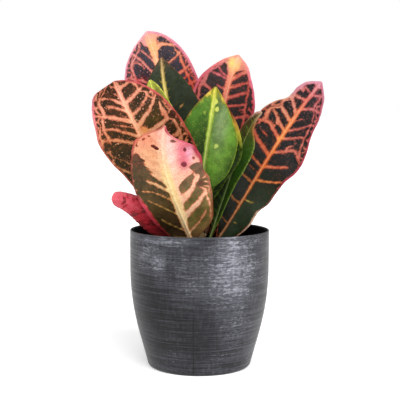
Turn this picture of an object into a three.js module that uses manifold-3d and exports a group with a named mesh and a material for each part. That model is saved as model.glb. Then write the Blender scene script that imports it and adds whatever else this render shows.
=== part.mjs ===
// A croton in a round metallic pot: pot, potting soil, one short stem and sixteen leaves.
// Millimetres, +Z up, origin at the centre of the pot's flat underside. The front is seen from -Y.
// Each leaf is one lofted body: a round petiole that widens into a thin blade with a rib below it.
import * as THREE from "three";
import { mergeVertices } from "three/addons/utils/BufferGeometryUtils.js";
import Module from "manifold-3d";

const wasm = await Module();
wasm.setup();

// Pot
const POT_HEIGHT = 137;
const RIM_RADIUS = 69.5;
const POT_WALL = 1.8;
const POT_FLOOR = 2.5;
const CYLINDER_FROM = 100; // height above which the side is upright
const SIDE_ARC_RADIUS = 245; // of the side between the cylinder and the taper
const TAPER_FROM = 36; // height below which the side runs straight in to the foot
const TAPER = 0.275; // millimetres in for each millimetre down
const FOOT_ROUNDING = 4;
const RIM_ROUNDING = 0.7;
const POT_SEGMENTS = 56;

// Soil
const SOIL_LEVEL = 108;
const SOIL_BUMP = 1.6; // height of its unevenness
const SOIL_FOOT_INSET = 1; // further in than the clearance, where the pot's floor curves up
const CLEARANCE = 0.3; // between pieces that rest against each other

// Stem
const STEM_TOP = 166;
const STEM_FOOT_RADIUS = 5.2; // at the soil
const STEM_TOP_RADIUS = 3.2;
const STEM_RINGS = [124, 138, 152]; // heights
const BUD_HEIGHT = 13; // above the stem's top
const BUD_SHOULDER = [0.6, 7]; // share of the stem's top radius, and height above its top
const ROOT_DEPTH = 34; // of the part of the stem that stands in the soil
const ROOT_TIP_RADIUS = 2.4;
const STEM_SIDES = 12;
const SEAT_REACH = 3.4; // from the stem's side to where a petiole begins
const SEAT_LENGTH = 2.6;
const SEAT_DROP = 5; // from a seat down to where its bar leaves the stem's axis
const SEAT_RADII = [2, 2.1, 1.9];
const SEAT_SIDES = 8;
const STEM_TOLERANCE = 0.12; // edges shorter than about this are closed up where the bars meet

// Leaves
const PETIOLE_RADIUS = 1.6;
const RIB_TIP_RADIUS = 0.55;
const BLADE_THICKNESS = 0.9;
const LEAST_HALF_WIDTH = 0.9;
const BLADE_OPENS = 0.15; // share of the midrib over which the blade takes up its lean and ripples
const RIB_ROUNDS = 0.1; // share of the midrib over which the petiole's upper side goes flat
const RIGHT_WAVE_SHIFT = 0.37; // of the right margin's ripples against the left's
const LEAF_RINGS = 16;
const RINGS_TOWARDS_TIP = 1.5; // above 1, the rings lie closer together at the tip
const RIB_COLUMN = 0.6; // share of the rib's half-width, for the point between its crown and its edge
const BLADE_COLUMNS = [0.36, 0.7, 1]; // on each half, as shares of the way from rib to margin
const WIDEST_RIB = 0.98; // share of the half-width that a rib may take up

const COLOURS = {
  pot: { color: 0x4a4d52, roughness: 0.42, metalness: 0.75 },
  soil: { color: 0x1d1511, roughness: 0.95, metalness: 0 },
  stem: { color: 0x5a5236, roughness: 0.8, metalness: 0 },
  ember: { color: 0x8e3b3a, roughness: 0.42, metalness: 0 },
  salmon: { color: 0x8a5a40, roughness: 0.45, metalness: 0 },
  blush: { color: 0xc58468, roughness: 0.5, metalness: 0 },
  crimson: { color: 0xb53c54, roughness: 0.5, metalness: 0 },
  green: { color: 0x4f8a2c, roughness: 0.35, metalness: 0 },
  deep_green: { color: 0x2c3a28, roughness: 0.35, metalness: 0 },
};

// One row for each leaf, lowest first.
// seat: where the petiole leaves the stem, as the angle round it from +X, in degrees, and the height.
// midrib: the two handles and the tip of a cubic curve that starts at the seat.
// outline: share of the midrib's length, then the blade's half-width to the left and to the right.
// lean: the angle of the left and the right half away from whoever faces the leaf, in degrees.
// wave: height, number and start of the ripples along each margin. curl: how far the margins turn away.
// turn: the leaf's own front, turned round the stem from -Y. rib: 1 if the ribbed side faces that front.
const LEAVES = [
  {
    name: "leaf_drooping", finish: "crimson", turn: 0, rib: 1,
    seat: [205, 116],
    midrib: [[-30, -8, 128], [-58, -13, 168], [-86.5, -18, 168.5]],
    outline: [
      [0.14, 1.6, 1.6], [0.26, 8, 8], [0.38, 13, 12], [0.5, 15, 15], [0.62, 14, 14], [0.75, 11, 10],
      [0.87, 8.5, 8], [0.94, 7, 7], [0.98, 4.5, 5], [1, 1, 1],
    ],
    lean: [22, 22], wave: [0.8, 3, 0.2], curl: 0.1,
  },
  {
    name: "leaf_right", finish: "ember", turn: 0, rib: -1,
    seat: [-18, 115],
    midrib: [[32, 8, 137], [72.5, 26, 224], [126, 46, 285.5]],
    outline: [
      [0.12, 1.6, 1.6], [0.2, 8, 14], [0.3, 18, 21], [0.42, 24, 21.5], [0.54, 30, 24.5], [0.66, 35, 28.5],
      [0.76, 32, 24.5], [0.82, 27, 21], [0.86, 18.5, 18], [0.92, 17, 14.5], [0.97, 11.5, 8], [1, 1, 1],
    ],
    lean: [-16, 12], wave: [2.2, 4, 0.1], curl: 0,
  },
  {
    name: "leaf_front", finish: "blush", turn: 0, rib: 1,
    seat: [-115, 117],
    midrib: [[-17, -34, 155], [-45.5, -62, 208.5], [-32, -76, 241]],
    outline: [
      [0.08, 1.6, 1.6], [0.16, 18, 24], [0.26, 26, 32], [0.38, 31, 37], [0.49, 34, 39], [0.57, 35, 36],
      [0.67, 33, 37], [0.76, 30, 34], [0.85, 26, 28], [0.91, 14, 12], [0.95, 5, 5], [1, 1, 1],
    ],
    lean: [14, 12], wave: [2, 3, 0.55], curl: 0.1,
  },
  {
    name: "leaf_low_rear_right", finish: "salmon", turn: 138, rib: 1,
    seat: [20, 118],
    midrib: [[2, -26, 146], [0, -54, 174], [-3, -76, 170]],
    outline: [
      [0.12, 1.6, 1.6], [0.3, 11, 11], [0.5, 17, 17], [0.7, 17, 17],
      [0.88, 10, 10], [0.96, 5, 5], [1, 1, 1],
    ],
    lean: [14, 14], wave: [1.4, 3, 0], curl: 0.1,
  },
  {
    name: "leaf_low_rear_left", finish: "crimson", turn: 232, rib: 1,
    seat: [168, 119],
    midrib: [[-3, -26, 150], [-2, -50, 184], [2, -68, 186]],
    outline: [[0.12, 1.6, 1.6], [0.3, 13, 13], [0.5, 20, 20], [0.7, 19, 19], [0.88, 11, 11], [1, 1, 1]],
    lean: [12, 12], wave: [1.4, 3, 0.4], curl: 0.1,
  },
  {
    name: "leaf_left", finish: "salmon", turn: 0, rib: -1,
    seat: [-160, 124],
    midrib: [[-22, -13, 164], [-55, -30, 224], [-83.5, -18, 283]],
    outline: [
      [0.12, 1.6, 1.6], [0.24, 5, 21], [0.34, 14, 37], [0.44, 26, 44], [0.57, 34, 46], [0.68, 38, 45],
      [0.78, 39, 41], [0.88, 35.5, 32], [0.95, 28, 20], [0.985, 17, 9], [1, 1, 1],
    ],
    lean: [6, -17], wave: [1.8, 3, 0.3], curl: 0,
  },
  {
    name: "leaf_rear_left", finish: "ember", turn: 220, rib: 1,
    seat: [140, 130],
    midrib: [[0, -30, 164], [-4, -66, 212], [-6, -98, 228]],
    outline: [
      [0.12, 1.6, 1.6], [0.28, 15, 15], [0.48, 26, 26], [0.68, 28, 28],
      [0.86, 18, 18], [0.95, 8, 8], [1, 1, 1],
    ],
    lean: [10, 10], wave: [1.8, 3, 0.2], curl: 0.1,
  },
  {
    name: "leaf_rear_right", finish: "ember", turn: 148, rib: 1,
    seat: [38, 132],
    midrib: [[0, -30, 162], [4, -66, 206], [5, -96, 224]],
    outline: [
      [0.12, 1.6, 1.6], [0.28, 14, 14], [0.48, 25, 25], [0.68, 27, 27],
      [0.86, 18, 18], [0.95, 8, 8], [1, 1, 1],
    ],
    lean: [10, 14], wave: [1.8, 3, 0.7], curl: 0.1,
  },
  {
    name: "leaf_back_left", finish: "ember", turn: 0, rib: -1,
    seat: [114, 137],
    midrib: [[-8, 27, 190], [-31, 56, 277], [-57.5, 84, 340]],
    outline: [
      [0.12, 1.6, 1.6], [0.26, 16, 16], [0.42, 32, 31], [0.56, 43, 37], [0.7, 46, 35], [0.8, 42, 31],
      [0.88, 34, 25], [0.94, 22, 18], [0.98, 9, 9], [1, 1, 1],
    ],
    lean: [8, -8], wave: [2, 3, 0.6], curl: 0,
  },
  {
    name: "leaf_rear_centre", finish: "salmon", turn: 184, rib: 1,
    seat: [88, 126],
    midrib: [[0, -24, 174], [2, -65, 236], [3, -108, 260]],
    outline: [
      [0.14, 1.6, 1.6], [0.3, 12, 12], [0.5, 24, 24], [0.68, 27, 27],
      [0.86, 18, 18], [0.95, 8, 8], [1, 1, 1],
    ],
    lean: [8, 8], wave: [1.8, 3, 0.5], curl: 0.1,
  },
  {
    name: "leaf_folded", finish: "deep_green", turn: 0, rib: -1,
    seat: [0, 123],
    midrib: [[24, -2, 165], [44, 2, 240], [62, 8, 254]],
    outline: [
      [0.1, 1.6, 1.6], [0.18, 6, 4], [0.28, 9, 6], [0.4, 9, 8.5], [0.52, 9, 13], [0.63, 9, 14.5],
      [0.7, 9, 12], [0.78, 8, 5], [0.88, 6, 2], [0.95, 4, 2], [1, 1, 1],
    ],
    lean: [12, -35], wave: [0.3, 2, 0.3], curl: 0,
  },
  {
    name: "leaf_back_right", finish: "ember", turn: 0, rib: -1,
    seat: [52, 146],
    midrib: [[8, 20, 195], [23, 34, 261], [40, 56, 313.5]],
    outline: [
      [0.14, 1.6, 1.6], [0.28, 13, 13], [0.44, 26, 26], [0.58, 33, 31], [0.7, 35, 31], [0.8, 31, 26],
      [0.88, 22.5, 20], [0.95, 12.5, 11.5], [1, 1, 1],
    ],
    lean: [-16, 4], wave: [1.6, 3, 0.1], curl: 0,
  },
  {
    name: "leaf_mid", finish: "deep_green", turn: 0, rib: -1,
    seat: [140, 150],
    midrib: [[-15, 8, 192], [-36, 16, 256], [-39.5, 28, 309]],
    outline: [
      [0.14, 1.6, 1.6], [0.28, 14, 14], [0.45, 26, 28], [0.6, 29, 33], [0.72, 26, 31], [0.84, 18, 22],
      [0.93, 9, 11], [1, 1, 1],
    ],
    lean: [-10, -10], wave: [1.4, 3, 0.8], curl: 0,
  },
  {
    name: "leaf_young_rear", finish: "deep_green", turn: 0, rib: -1,
    seat: [-15, 151],
    midrib: [[9, -5, 176], [23, -7, 216], [27, -8, 258]],
    outline: [
      [0.14, 1.6, 1.6], [0.3, 10, 9], [0.42, 14, 13], [0.52, 16, 18], [0.62, 17, 22], [0.72, 16, 21],
      [0.84, 12, 15], [0.93, 7, 8], [1, 1, 1],
    ],
    lean: [-8, -14], wave: [1, 3, 0.2], curl: 0,
  },
  {
    name: "leaf_lime", finish: "green", turn: 0, rib: -1,
    seat: [-150, 157],
    midrib: [[-10, -3, 188], [-35, -2, 240], [-49.5, -4, 285]],
    outline: [
      [0.14, 1.6, 1.6], [0.3, 7, 7], [0.5, 12, 13], [0.7, 13, 14],
      [0.86, 9, 10], [0.95, 6, 6], [1, 1, 1],
    ],
    lean: [-8, -8], wave: [0.6, 2, 0.3], curl: 0,
  },
  {
    name: "leaf_young", finish: "green", turn: 0, rib: -1,
    seat: [-75, 158],
    midrib: [[0, -13, 184], [9, -18, 231], [15, -22, 278]],
    outline: [
      [0.12, 1.6, 1.6], [0.24, 10, 12], [0.38, 22, 24], [0.52, 28, 29], [0.66, 28, 29], [0.78, 23, 22],
      [0.88, 15, 14], [0.95, 7, 7], [1, 1, 1],
    ],
    lean: [-9, -12], wave: [1.4, 3, 0.4], curl: 0,
  },
];

const degrees = (d) => THREE.MathUtils.degToRad(d);

// A solid of revolution about Z from [radius, height] points that run anticlockwise from the axis.
function turned(points, segments) {
  const profile = points.map(([r, z]) => new THREE.Vector2(r, z));
  const geometry = new THREE.LatheGeometry(profile, segments);
  return geometry.rotateX(Math.PI / 2);
}

// Points along a circular arc, both ends included.
function arc(cx, cz, radius, from, to, steps) {
  return Array.from({ length: steps + 1 }, (_, i) => {
    const a = degrees(from + ((to - from) * i) / steps);
    return [cx + radius * Math.cos(a), cz + radius * Math.sin(a)];
  });
}

// The pot's outer radius at a height: a cylinder, below it an arc, then a straight taper.
function potRadius(z) {
  const onArc = THREE.MathUtils.clamp(CYLINDER_FROM - z, 0, CYLINDER_FROM - TAPER_FROM);
  const arcRadius = RIM_RADIUS - SIDE_ARC_RADIUS + Math.sqrt(SIDE_ARC_RADIUS ** 2 - onArc ** 2);
  return arcRadius - TAPER * Math.max(0, TAPER_FROM - z);
}

const innerRadius = (z) => potRadius(z) - POT_WALL;

function potGeometry() {
  const footRadius = potRadius(FOOT_ROUNDING) - FOOT_ROUNDING;
  const side = [TAPER_FROM, 50, 66, 82, CYLINDER_FROM].map((z) => [potRadius(z), z]);
  const rim = POT_HEIGHT - RIM_ROUNDING;
  const inside = [CYLINDER_FROM, 75, 50, 30, 8].map((z) => [innerRadius(z), z]);
  return turned(
    [
      [0, 0],
      ...arc(footRadius, FOOT_ROUNDING, FOOT_ROUNDING, -90, -10, 3),
      ...side,
      ...arc(RIM_RADIUS - RIM_ROUNDING, rim, RIM_ROUNDING, 0, 90, 2),
      ...arc(RIM_RADIUS - POT_WALL + RIM_ROUNDING, rim, RIM_ROUNDING, 90, 180, 2),
      ...inside,
      [footRadius - POT_WALL, POT_FLOOR],
      [0, POT_FLOOR],
    ],
    POT_SEGMENTS,
  );
}

// Gentle unevenness of the soil, zero at the stem and at the pot's wall.
function soilBump(x, y) {
  const r = Math.hypot(x, y) / innerRadius(SOIL_LEVEL);
  const edge = Math.sin(Math.PI * Math.min(1, r)) ** 0.5;
  const swell = Math.sin(0.21 * x + 0.6) * Math.cos(0.17 * y);
  const ridges = 0.5 * Math.sin(0.43 * y + 0.3 * x);
  return SOIL_BUMP * edge * (swell + ridges);
}

function soilGeometry() {
  const hole = STEM_FOOT_RADIUS + CLEARANCE;
  const wall = (z) => [innerRadius(z) - CLEARANCE, z];
  const bottom = POT_FLOOR + CLEARANCE;
  const rings = [0.8, 0.6, 0.4, 0.22].map((share) => [share * innerRadius(SOIL_LEVEL), SOIL_LEVEL]);
  const geometry = turned(
    [
      [0, bottom],
      [potRadius(FOOT_ROUNDING) - FOOT_ROUNDING - POT_WALL - SOIL_FOOT_INSET, bottom],
      ...[8, 30, 50, 75, CYLINDER_FROM, SOIL_LEVEL].map(wall),
      ...rings,
      [hole, SOIL_LEVEL],
      [ROOT_TIP_RADIUS + CLEARANCE, SOIL_LEVEL - ROOT_DEPTH - CLEARANCE],
      [0, SOIL_LEVEL - ROOT_DEPTH - CLEARANCE],
    ],
    POT_SEGMENTS,
  );
  const place = geometry.getAttribute("position");
  for (let i = 0; i < place.count; i++) {
    const [x, y, z] = [place.getX(i), place.getY(i), place.getZ(i)];
    const fromStem = Math.hypot(x, y);
    const onTop = z > SOIL_LEVEL - 0.01 && fromStem > hole + 1 && fromStem < wall(SOIL_LEVEL)[0] - 1;
    if (onTop) place.setZ(i, z + soilBump(x, y));
  }
  return geometry;
}

// A closed body through rings of equally many points, with a fan over each end.
function loft(rings) {
  const count = rings[0].length;
  const positions = rings.flat().flatMap((p) => [p.x, p.y, p.z]);
  const middles = [rings[0], rings.at(-1)].map((ring) =>
    ring.reduce((sum, p) => sum.add(p), new THREE.Vector3()).divideScalar(count),
  );
  middles.forEach((m) => positions.push(m.x, m.y, m.z));
  const first = rings.length * count;
  const index = [];
  for (let i = 0; i < rings.length - 1; i++) {
    for (let j = 0; j < count; j++) {
      const [a, b] = [i * count + j, i * count + ((j + 1) % count)];
      index.push(a, b, b + count, a, b + count, a + count);
    }
  }
  const last = (rings.length - 1) * count;
  for (let j = 0; j < count; j++) {
    const k = (j + 1) % count;
    index.push(first, k, j, first + 1, last + j, last + k);
  }
  const geometry = new THREE.BufferGeometry();
  geometry.setAttribute("position", new THREE.Float32BufferAttribute(positions, 3));
  geometry.setIndex(index);
  return geometry;
}

// A smooth value at t through rows of [t, ...values], for the column asked.
function through(rows, column, t) {
  const last = rows.length - 1;
  let i = 0;
  while (i < last - 1 && t > rows[i + 1][0]) i++;
  const slope = (k) => {
    const [a, b] = [rows[Math.max(0, k - 1)], rows[Math.min(last, k + 1)]];
    return (b[column] - a[column]) / (b[0] - a[0]);
  };
  const [from, to] = [rows[i], rows[i + 1]];
  const step = to[0] - from[0];
  const u = (t - from[0]) / step;
  const hermite = [(1 + 2 * u) * (1 - u) ** 2, u * (1 - u) ** 2, u * u * (3 - 2 * u), u * u * (u - 1)];
  return (
    hermite[0] * from[column] +
    hermite[1] * step * slope(i) +
    hermite[2] * to[column] +
    hermite[3] * step * slope(i + 1)
  );
}

const stemRadius = (z) =>
  THREE.MathUtils.mapLinear(z, SOIL_LEVEL, STEM_TOP, STEM_FOOT_RADIUS, STEM_TOP_RADIUS);

// Where a leaf's petiole begins, in the part's frame.
function seatOf(leaf) {
  const [angle, height] = leaf.seat;
  const reach = stemRadius(height) + SEAT_REACH;
  return new THREE.Vector3(reach * Math.cos(degrees(angle)), reach * Math.sin(degrees(angle)), height);
}

const UP = new THREE.Vector3(0, 0, 1);

// The midrib, in the leaf's own frame, whose front is -Y.
function midribOf(leaf) {
  const seat = seatOf(leaf).applyAxisAngle(UP, -degrees(leaf.turn));
  return new THREE.CubicBezierCurve3(seat, ...leaf.midrib.map((p) => new THREE.Vector3(...p)));
}

// The half-width of a leaf at t, on its left (0) or its right (1). Below the blade it is the petiole's.
function halfWidth(leaf, t, right) {
  const blade = leaf.outline[0][0];
  return t < blade ? PETIOLE_RADIUS : Math.max(LEAST_HALF_WIDTH, through(leaf.outline, 1 + right, t));
}

// A point of the blade's middle surface. side runs from -1 at the left margin to 1 at the right.
function bladePoint(leaf, midrib, t, side) {
  const blade = leaf.outline[0][0];
  const along = midrib.getTangent(t);
  const across = new THREE.Vector3(along.z, 0, -along.x).normalize();
  const right = side > 0 ? 1 : 0;
  const width = halfWidth(leaf, t, right);
  const [height, count, start] = leaf.wave;
  const open = THREE.MathUtils.smoothstep(t, blade, blade + BLADE_OPENS);
  const lean = degrees(leaf.lean[right]) * open;
  const phase = 2 * Math.PI * (count * t + start + RIGHT_WAVE_SHIFT * right);
  const ripple = height * open * side ** 2 * Math.sin(phase) * (1 - t ** 6);
  const curl = leaf.curl * width * side ** 4;
  const away = Math.sin(lean) * Math.abs(side) * width + curl + ripple;
  return midrib
    .getPoint(t)
    .addScaledVector(across, Math.cos(lean) * side * width)
    .add(new THREE.Vector3(0, away, 0));
}

// The blade's front normal, by small differences along and across it.
function bladeNormal(leaf, midrib, t, side) {
  const [small, wide] = [0.004, 0.02];
  const [t0, t1] = [Math.max(0, t - small), Math.min(1, t + small)];
  const alongIt = bladePoint(leaf, midrib, t1, side).sub(bladePoint(leaf, midrib, t0, side));
  const [s0, s1] = [Math.max(-1, side - wide), Math.min(1, side + wide)];
  const acrossIt = bladePoint(leaf, midrib, t, s1).sub(bladePoint(leaf, midrib, t, s0));
  return acrossIt.cross(alongIt).normalize();
}

// One ring of the loft: the front face from left to right, then the back face from right to left.
function leafRing(leaf, midrib, t) {
  const blade = leaf.outline[0][0];
  const rib = THREE.MathUtils.lerp(PETIOLE_RADIUS, RIB_TIP_RADIUS, t);
  const columns = (right) => {
    const edge = Math.min(WIDEST_RIB, rib / halfWidth(leaf, t, right));
    return [RIB_COLUMN * edge, ...[0, ...BLADE_COLUMNS].map((share) => edge + (1 - edge) * share)];
  };
  const sides = [...columns(0).reverse().map((s) => -s), 0, ...columns(1)];
  const onPetiole = 1 - THREE.MathUtils.smoothstep(t, blade, blade + RIB_ROUNDS);
  const face = (front) =>
    sides.map((side) => {
      const x = Math.abs(side) * halfWidth(leaf, t, side > 0 ? 1 : 0);
      const round = Math.sqrt(Math.max(0, rib ** 2 - x ** 2));
      const ribbed = front === leaf.rib ? 1 : onPetiole;
      const offset = Math.max(BLADE_THICKNESS / 2, round * ribbed);
      const normal = bladeNormal(leaf, midrib, t, side);
      return bladePoint(leaf, midrib, t, side).addScaledVector(normal, front * offset);
    });
  return [...face(1), ...face(-1).reverse()];
}

function leafGeometry(leaf) {
  const midrib = midribOf(leaf);
  const rings = Array.from({ length: LEAF_RINGS + 1 }, (_, i) => {
    const t = 1 - (1 - i / LEAF_RINGS) ** RINGS_TOWARDS_TIP;
    return leafRing(leaf, midrib, t);
  });
  return loft(rings).rotateZ(degrees(leaf.turn));
}

// A round bar through points, its last end square to the way given.
function bar(points, radii, sides, lastWay) {
  const rings = points.map((p, i) => {
    const way = i === points.length - 1 ? lastWay : points[i + 1].clone().sub(p).normalize();
    const helper = Math.abs(way.z) > 0.9 ? new THREE.Vector3(1, 0, 0) : UP;
    const u = new THREE.Vector3().crossVectors(helper, way).normalize();
    const v = new THREE.Vector3().crossVectors(way, u);
    return Array.from({ length: sides }, (_, k) => {
      const a = (2 * Math.PI * k) / sides;
      const [right, up] = [radii[i] * Math.cos(a), radii[i] * Math.sin(a)];
      return p.clone().addScaledVector(u, right).addScaledVector(v, up);
    });
  });
  return loft(rings);
}

function toSolid(geometry) {
  const plain = new THREE.BufferGeometry();
  plain.setAttribute("position", geometry.getAttribute("position"));
  plain.setIndex(geometry.getIndex());
  const merged = mergeVertices(plain, 1e-4);
  return new wasm.Manifold(
    new wasm.Mesh({
      numProp: 3,
      vertProperties: merged.getAttribute("position").array,
      triVerts: new Uint32Array(merged.getIndex().array),
    }),
  );
}

function toGeometry(solid) {
  const mesh = solid.getMesh();
  const geometry = new THREE.BufferGeometry();
  geometry.setAttribute("position", new THREE.BufferAttribute(mesh.vertProperties, 3));
  geometry.setIndex(new THREE.BufferAttribute(mesh.triVerts, 1));
  return geometry;
}

// The stem with its bud, its foot in the soil and a raised seat for each petiole.
function stemGeometry() {
  const foot = SOIL_LEVEL - ROOT_DEPTH;
  const shaft = turned(
    [
      [0, foot],
      [ROOT_TIP_RADIUS, foot],
      [STEM_FOOT_RADIUS, SOIL_LEVEL],
      ...[...STEM_RINGS, STEM_TOP].map((z) => [stemRadius(z), z]),
      [STEM_TOP_RADIUS * BUD_SHOULDER[0], STEM_TOP + BUD_SHOULDER[1]],
      [0, STEM_TOP + BUD_HEIGHT],
    ],
    STEM_SIDES,
  );
  const stem = LEAVES.reduce((made, leaf) => {
    const seat = seatOf(leaf);
    const way = midribOf(leaf).getTangent(0).applyAxisAngle(UP, degrees(leaf.turn));
    const root = new THREE.Vector3(0, 0, seat.z - SEAT_DROP);
    const bend = seat.clone().addScaledVector(way, -SEAT_LENGTH);
    const end = seat.clone().addScaledVector(way, -CLEARANCE);
    return made.add(toSolid(bar([root, bend, end], SEAT_RADII, SEAT_SIDES, way)));
  }, toSolid(shaft));
  return toGeometry(stem.simplify(STEM_TOLERANCE));
}

const croton = new THREE.Group();

function addPiece(name, geometry, finish) {
  const mesh = new THREE.Mesh(geometry, new THREE.MeshStandardMaterial(COLOURS[finish]));
  mesh.name = name;
  croton.add(mesh);
}

addPiece("pot", potGeometry(), "pot");
addPiece("soil", soilGeometry(), "soil");
addPiece("stem", stemGeometry(), "stem");
for (const leaf of LEAVES) addPiece(leaf.name, leafGeometry(leaf), leaf.finish);

export default croton;
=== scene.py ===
# %% [markdown]
# # A potted croton
#
# A croton is a houseplant grown for its leaves: leathery blades whose veins light up in orange, salmon and
# pink over nearly black or green panels. This one has sixteen leaves on a short stem, in soil, in a round pot
# of brushed dark sheet metal. The lesson builds each piece over a fixed frame of simple solids, gives every
# surface a material made of nodes, and lights it as in a studio.
#
# Everything is in metres with +Z up. The plant is seen from -Y.

# %% Load the frame
import math

import bpy
import numpy as np
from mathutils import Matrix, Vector


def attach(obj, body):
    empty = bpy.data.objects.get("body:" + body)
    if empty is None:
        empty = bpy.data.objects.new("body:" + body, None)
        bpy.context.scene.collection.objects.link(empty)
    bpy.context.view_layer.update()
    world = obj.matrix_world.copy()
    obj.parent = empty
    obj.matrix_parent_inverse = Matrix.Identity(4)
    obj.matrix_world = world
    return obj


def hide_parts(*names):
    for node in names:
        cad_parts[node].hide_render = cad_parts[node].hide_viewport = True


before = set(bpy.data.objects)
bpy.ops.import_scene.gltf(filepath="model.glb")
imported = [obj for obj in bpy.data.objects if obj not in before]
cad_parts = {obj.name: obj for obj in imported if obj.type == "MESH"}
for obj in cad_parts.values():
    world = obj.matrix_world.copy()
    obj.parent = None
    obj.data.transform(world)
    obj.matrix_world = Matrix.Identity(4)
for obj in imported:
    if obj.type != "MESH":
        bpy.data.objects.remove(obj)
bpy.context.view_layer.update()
MM = 0.001
print("solids in the frame:", len(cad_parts))

# %% [markdown]
# ## Camera
#
# The camera comes first, so that each piece can be looked at as soon as it exists. A product picture of a
# plant this size is taken from about a metre away with a long lens, from a little above the rim of the pot.

# %% Camera
CAMERA_DISTANCE = 0.946
CAMERA_HEIGHT = 0.248
CAMERA_TILT = 4.95  # degrees below the horizon
CAMERA_ROLL = -0.2  # degrees
LENS_MM = 85.5

camera = bpy.data.objects.new("camera", bpy.data.cameras.new("camera"))
camera.data.lens = LENS_MM
camera.location = (0, -CAMERA_DISTANCE, CAMERA_HEIGHT)
camera.rotation_euler = (math.radians(90 - CAMERA_TILT), math.radians(CAMERA_ROLL), 0)
bpy.context.scene.collection.objects.link(camera)
bpy.context.scene.camera = camera
print("camera at", tuple(camera.location))

# %% [markdown]
# ## A small language for nodes
#
# Node trees are easier to read as sums than as boxes and wires. `Value` wraps one output socket, so that
# `1 - mask * 0.5` adds the Math nodes that it needs. `Tree` adds every other node through one method, which
# takes the node's type, its settings and what goes into its sockets. Both work in materials, in the world
# and in Geometry Nodes.

# %% Colours and values
def linear(colour):
    """A hexadecimal screen colour as the linear red, green, blue and alpha that shaders use."""
    channels = [int(colour[i : i + 2], 16) / 255 for i in (0, 2, 4)]
    return [c / 12.92 if c <= 0.04045 else ((c + 0.055) / 1.055) ** 2.4 for c in channels] + [1.0]


class Value:
    """One output of a node, which can be used in sums."""

    def __init__(self, tree, socket):
        self.tree, self.socket = tree, socket

    def math(self, operation, *others):
        return self.tree.math(operation, self, *others)

    def output(self, name):
        return Value(self.tree, self.socket.node.outputs[name])

    def __add__(self, other):
        return self.math("ADD", other)

    def __mul__(self, other):
        return self.math("MULTIPLY", other)

    def __sub__(self, other):
        return self.math("SUBTRACT", other)

    def __rsub__(self, other):
        return self.tree.math("SUBTRACT", other, self)

    def __truediv__(self, other):
        return self.math("DIVIDE", other)

    __radd__, __rmul__ = __add__, __mul__


print("a shader's number for the screen's middle grey:", round(linear("808080")[0], 3))


# %% Trees
class Tree:
    """A node tree, built by adding one node at a time."""

    def __init__(self, tree):
        self.tree = tree

    def node(self, kind, settings=None, sockets=None, output=0):
        made = self.tree.nodes.new(kind)
        for name, value in (settings or {}).items():
            setattr(made, name, value)
        for name, value in (sockets or {}).items():
            if isinstance(value, Value):
                self.tree.links.new(value.socket, made.inputs[name])
            else:
                made.inputs[name].default_value = value
        return Value(self, made.outputs[output] if len(made.outputs) else None)

    def math(self, operation, *values):
        return self.node("ShaderNodeMath", {"operation": operation}, dict(enumerate(values)))

    def step(self, value, low, high):
        """0 below low and 1 above high, smooth between them. It falls instead where low is the larger."""
        settings = {"interpolation_type": "SMOOTHSTEP"}
        return self.node("ShaderNodeMapRange", settings, {"Value": value, "From Min": low, "From Max": high})

    def mix(self, share, first, second, blend="MIX"):
        """Colours mixed by a share."""
        settings = {"data_type": "RGBA", "blend_type": blend}
        return self.node("ShaderNodeMix", settings, {0: share, 6: first, 7: second}, 2)

    def noise(self, place, scale, detail=2.0, roughness=0.5):
        """Smooth noise between 0 and 1."""
        sockets = {"Vector": place, "Scale": scale, "Detail": detail, "Roughness": roughness}
        return self.node("ShaderNodeTexNoise", None, sockets)

    def stretched(self, place, factors):
        """A place whose axes are scaled, which draws a pattern out."""
        settings = {"operation": "MULTIPLY"}
        return self.node("ShaderNodeVectorMath", settings, {0: place, 1: factors})

    def split(self, vector):
        """The three numbers of a vector."""
        first = self.node("ShaderNodeSeparateXYZ", None, {"Vector": vector})
        return first, first.output("Y"), first.output("Z")

    def warped(self, place, scale, reach):
        """A place that noise has pushed about."""
        push = self.node("ShaderNodeTexNoise", None, {"Vector": place, "Scale": scale}, "Color")
        push = self.node("ShaderNodeVectorMath", {"operation": "SUBTRACT"}, {0: push, 1: (0.5, 0.5, 0.5)})
        push = self.node("ShaderNodeVectorMath", {"operation": "SCALE"}, {0: push, "Scale": reach})
        return self.node("ShaderNodeVectorMath", {"operation": "ADD"}, {0: place, 1: push})

    def specks(self, place, scale, size):
        """1 in small round specks, and 0 between them."""
        sockets = {"Vector": place, "Scale": scale, "Randomness": 1.0}
        distance = self.node("ShaderNodeTexVoronoi", {"voronoi_dimensions": "2D"}, sockets, "Distance")
        some = self.step(self.noise(place, scale * 0.31, 1.0), 0.5, 0.62)
        return self.step(distance, size * 1.6, size) * some


print("a tree can add:", *(name for name in vars(Tree) if name[0] != "_"))


# %% Materials
class Finish(Tree):
    """A material with one Principled shader. What is the same all over it is set on the shader itself."""

    def __init__(self, name, **constants):
        self.material = bpy.data.materials.new(name)
        self.material.use_nodes = True
        super().__init__(self.material.node_tree)
        self.shader = self.tree.nodes["Principled BSDF"]
        for socket, value in constants.items():
            self.shader.inputs[socket.replace("_", " ")].default_value = value

    def feed(self, **links):
        """Links what varies over the surface to the shader."""
        for socket, value in links.items():
            self.tree.links.new(value.socket, self.shader.inputs[socket.replace("_", " ")])

    def bump(self, height, depth, strength=1.0):
        """Height runs from 0 to 1 or so, and depth is its size in metres."""
        sockets = {"Height": height, "Distance": depth, "Strength": strength}
        return self.node("ShaderNodeBump", None, sockets)


print("material helpers ready")


# %% Meshes from arrays
def mesh_object(name, points, faces):
    """An object at the origin from an array of points in metres and an array of faces, shaded smooth."""
    mesh = bpy.data.meshes.new(name)
    mesh.from_pydata(points.tolist(), [], [face.tolist() for face in faces])
    mesh.shade_smooth()
    made = bpy.data.objects.new(name, mesh)
    bpy.context.scene.collection.objects.link(made)
    return made


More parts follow.
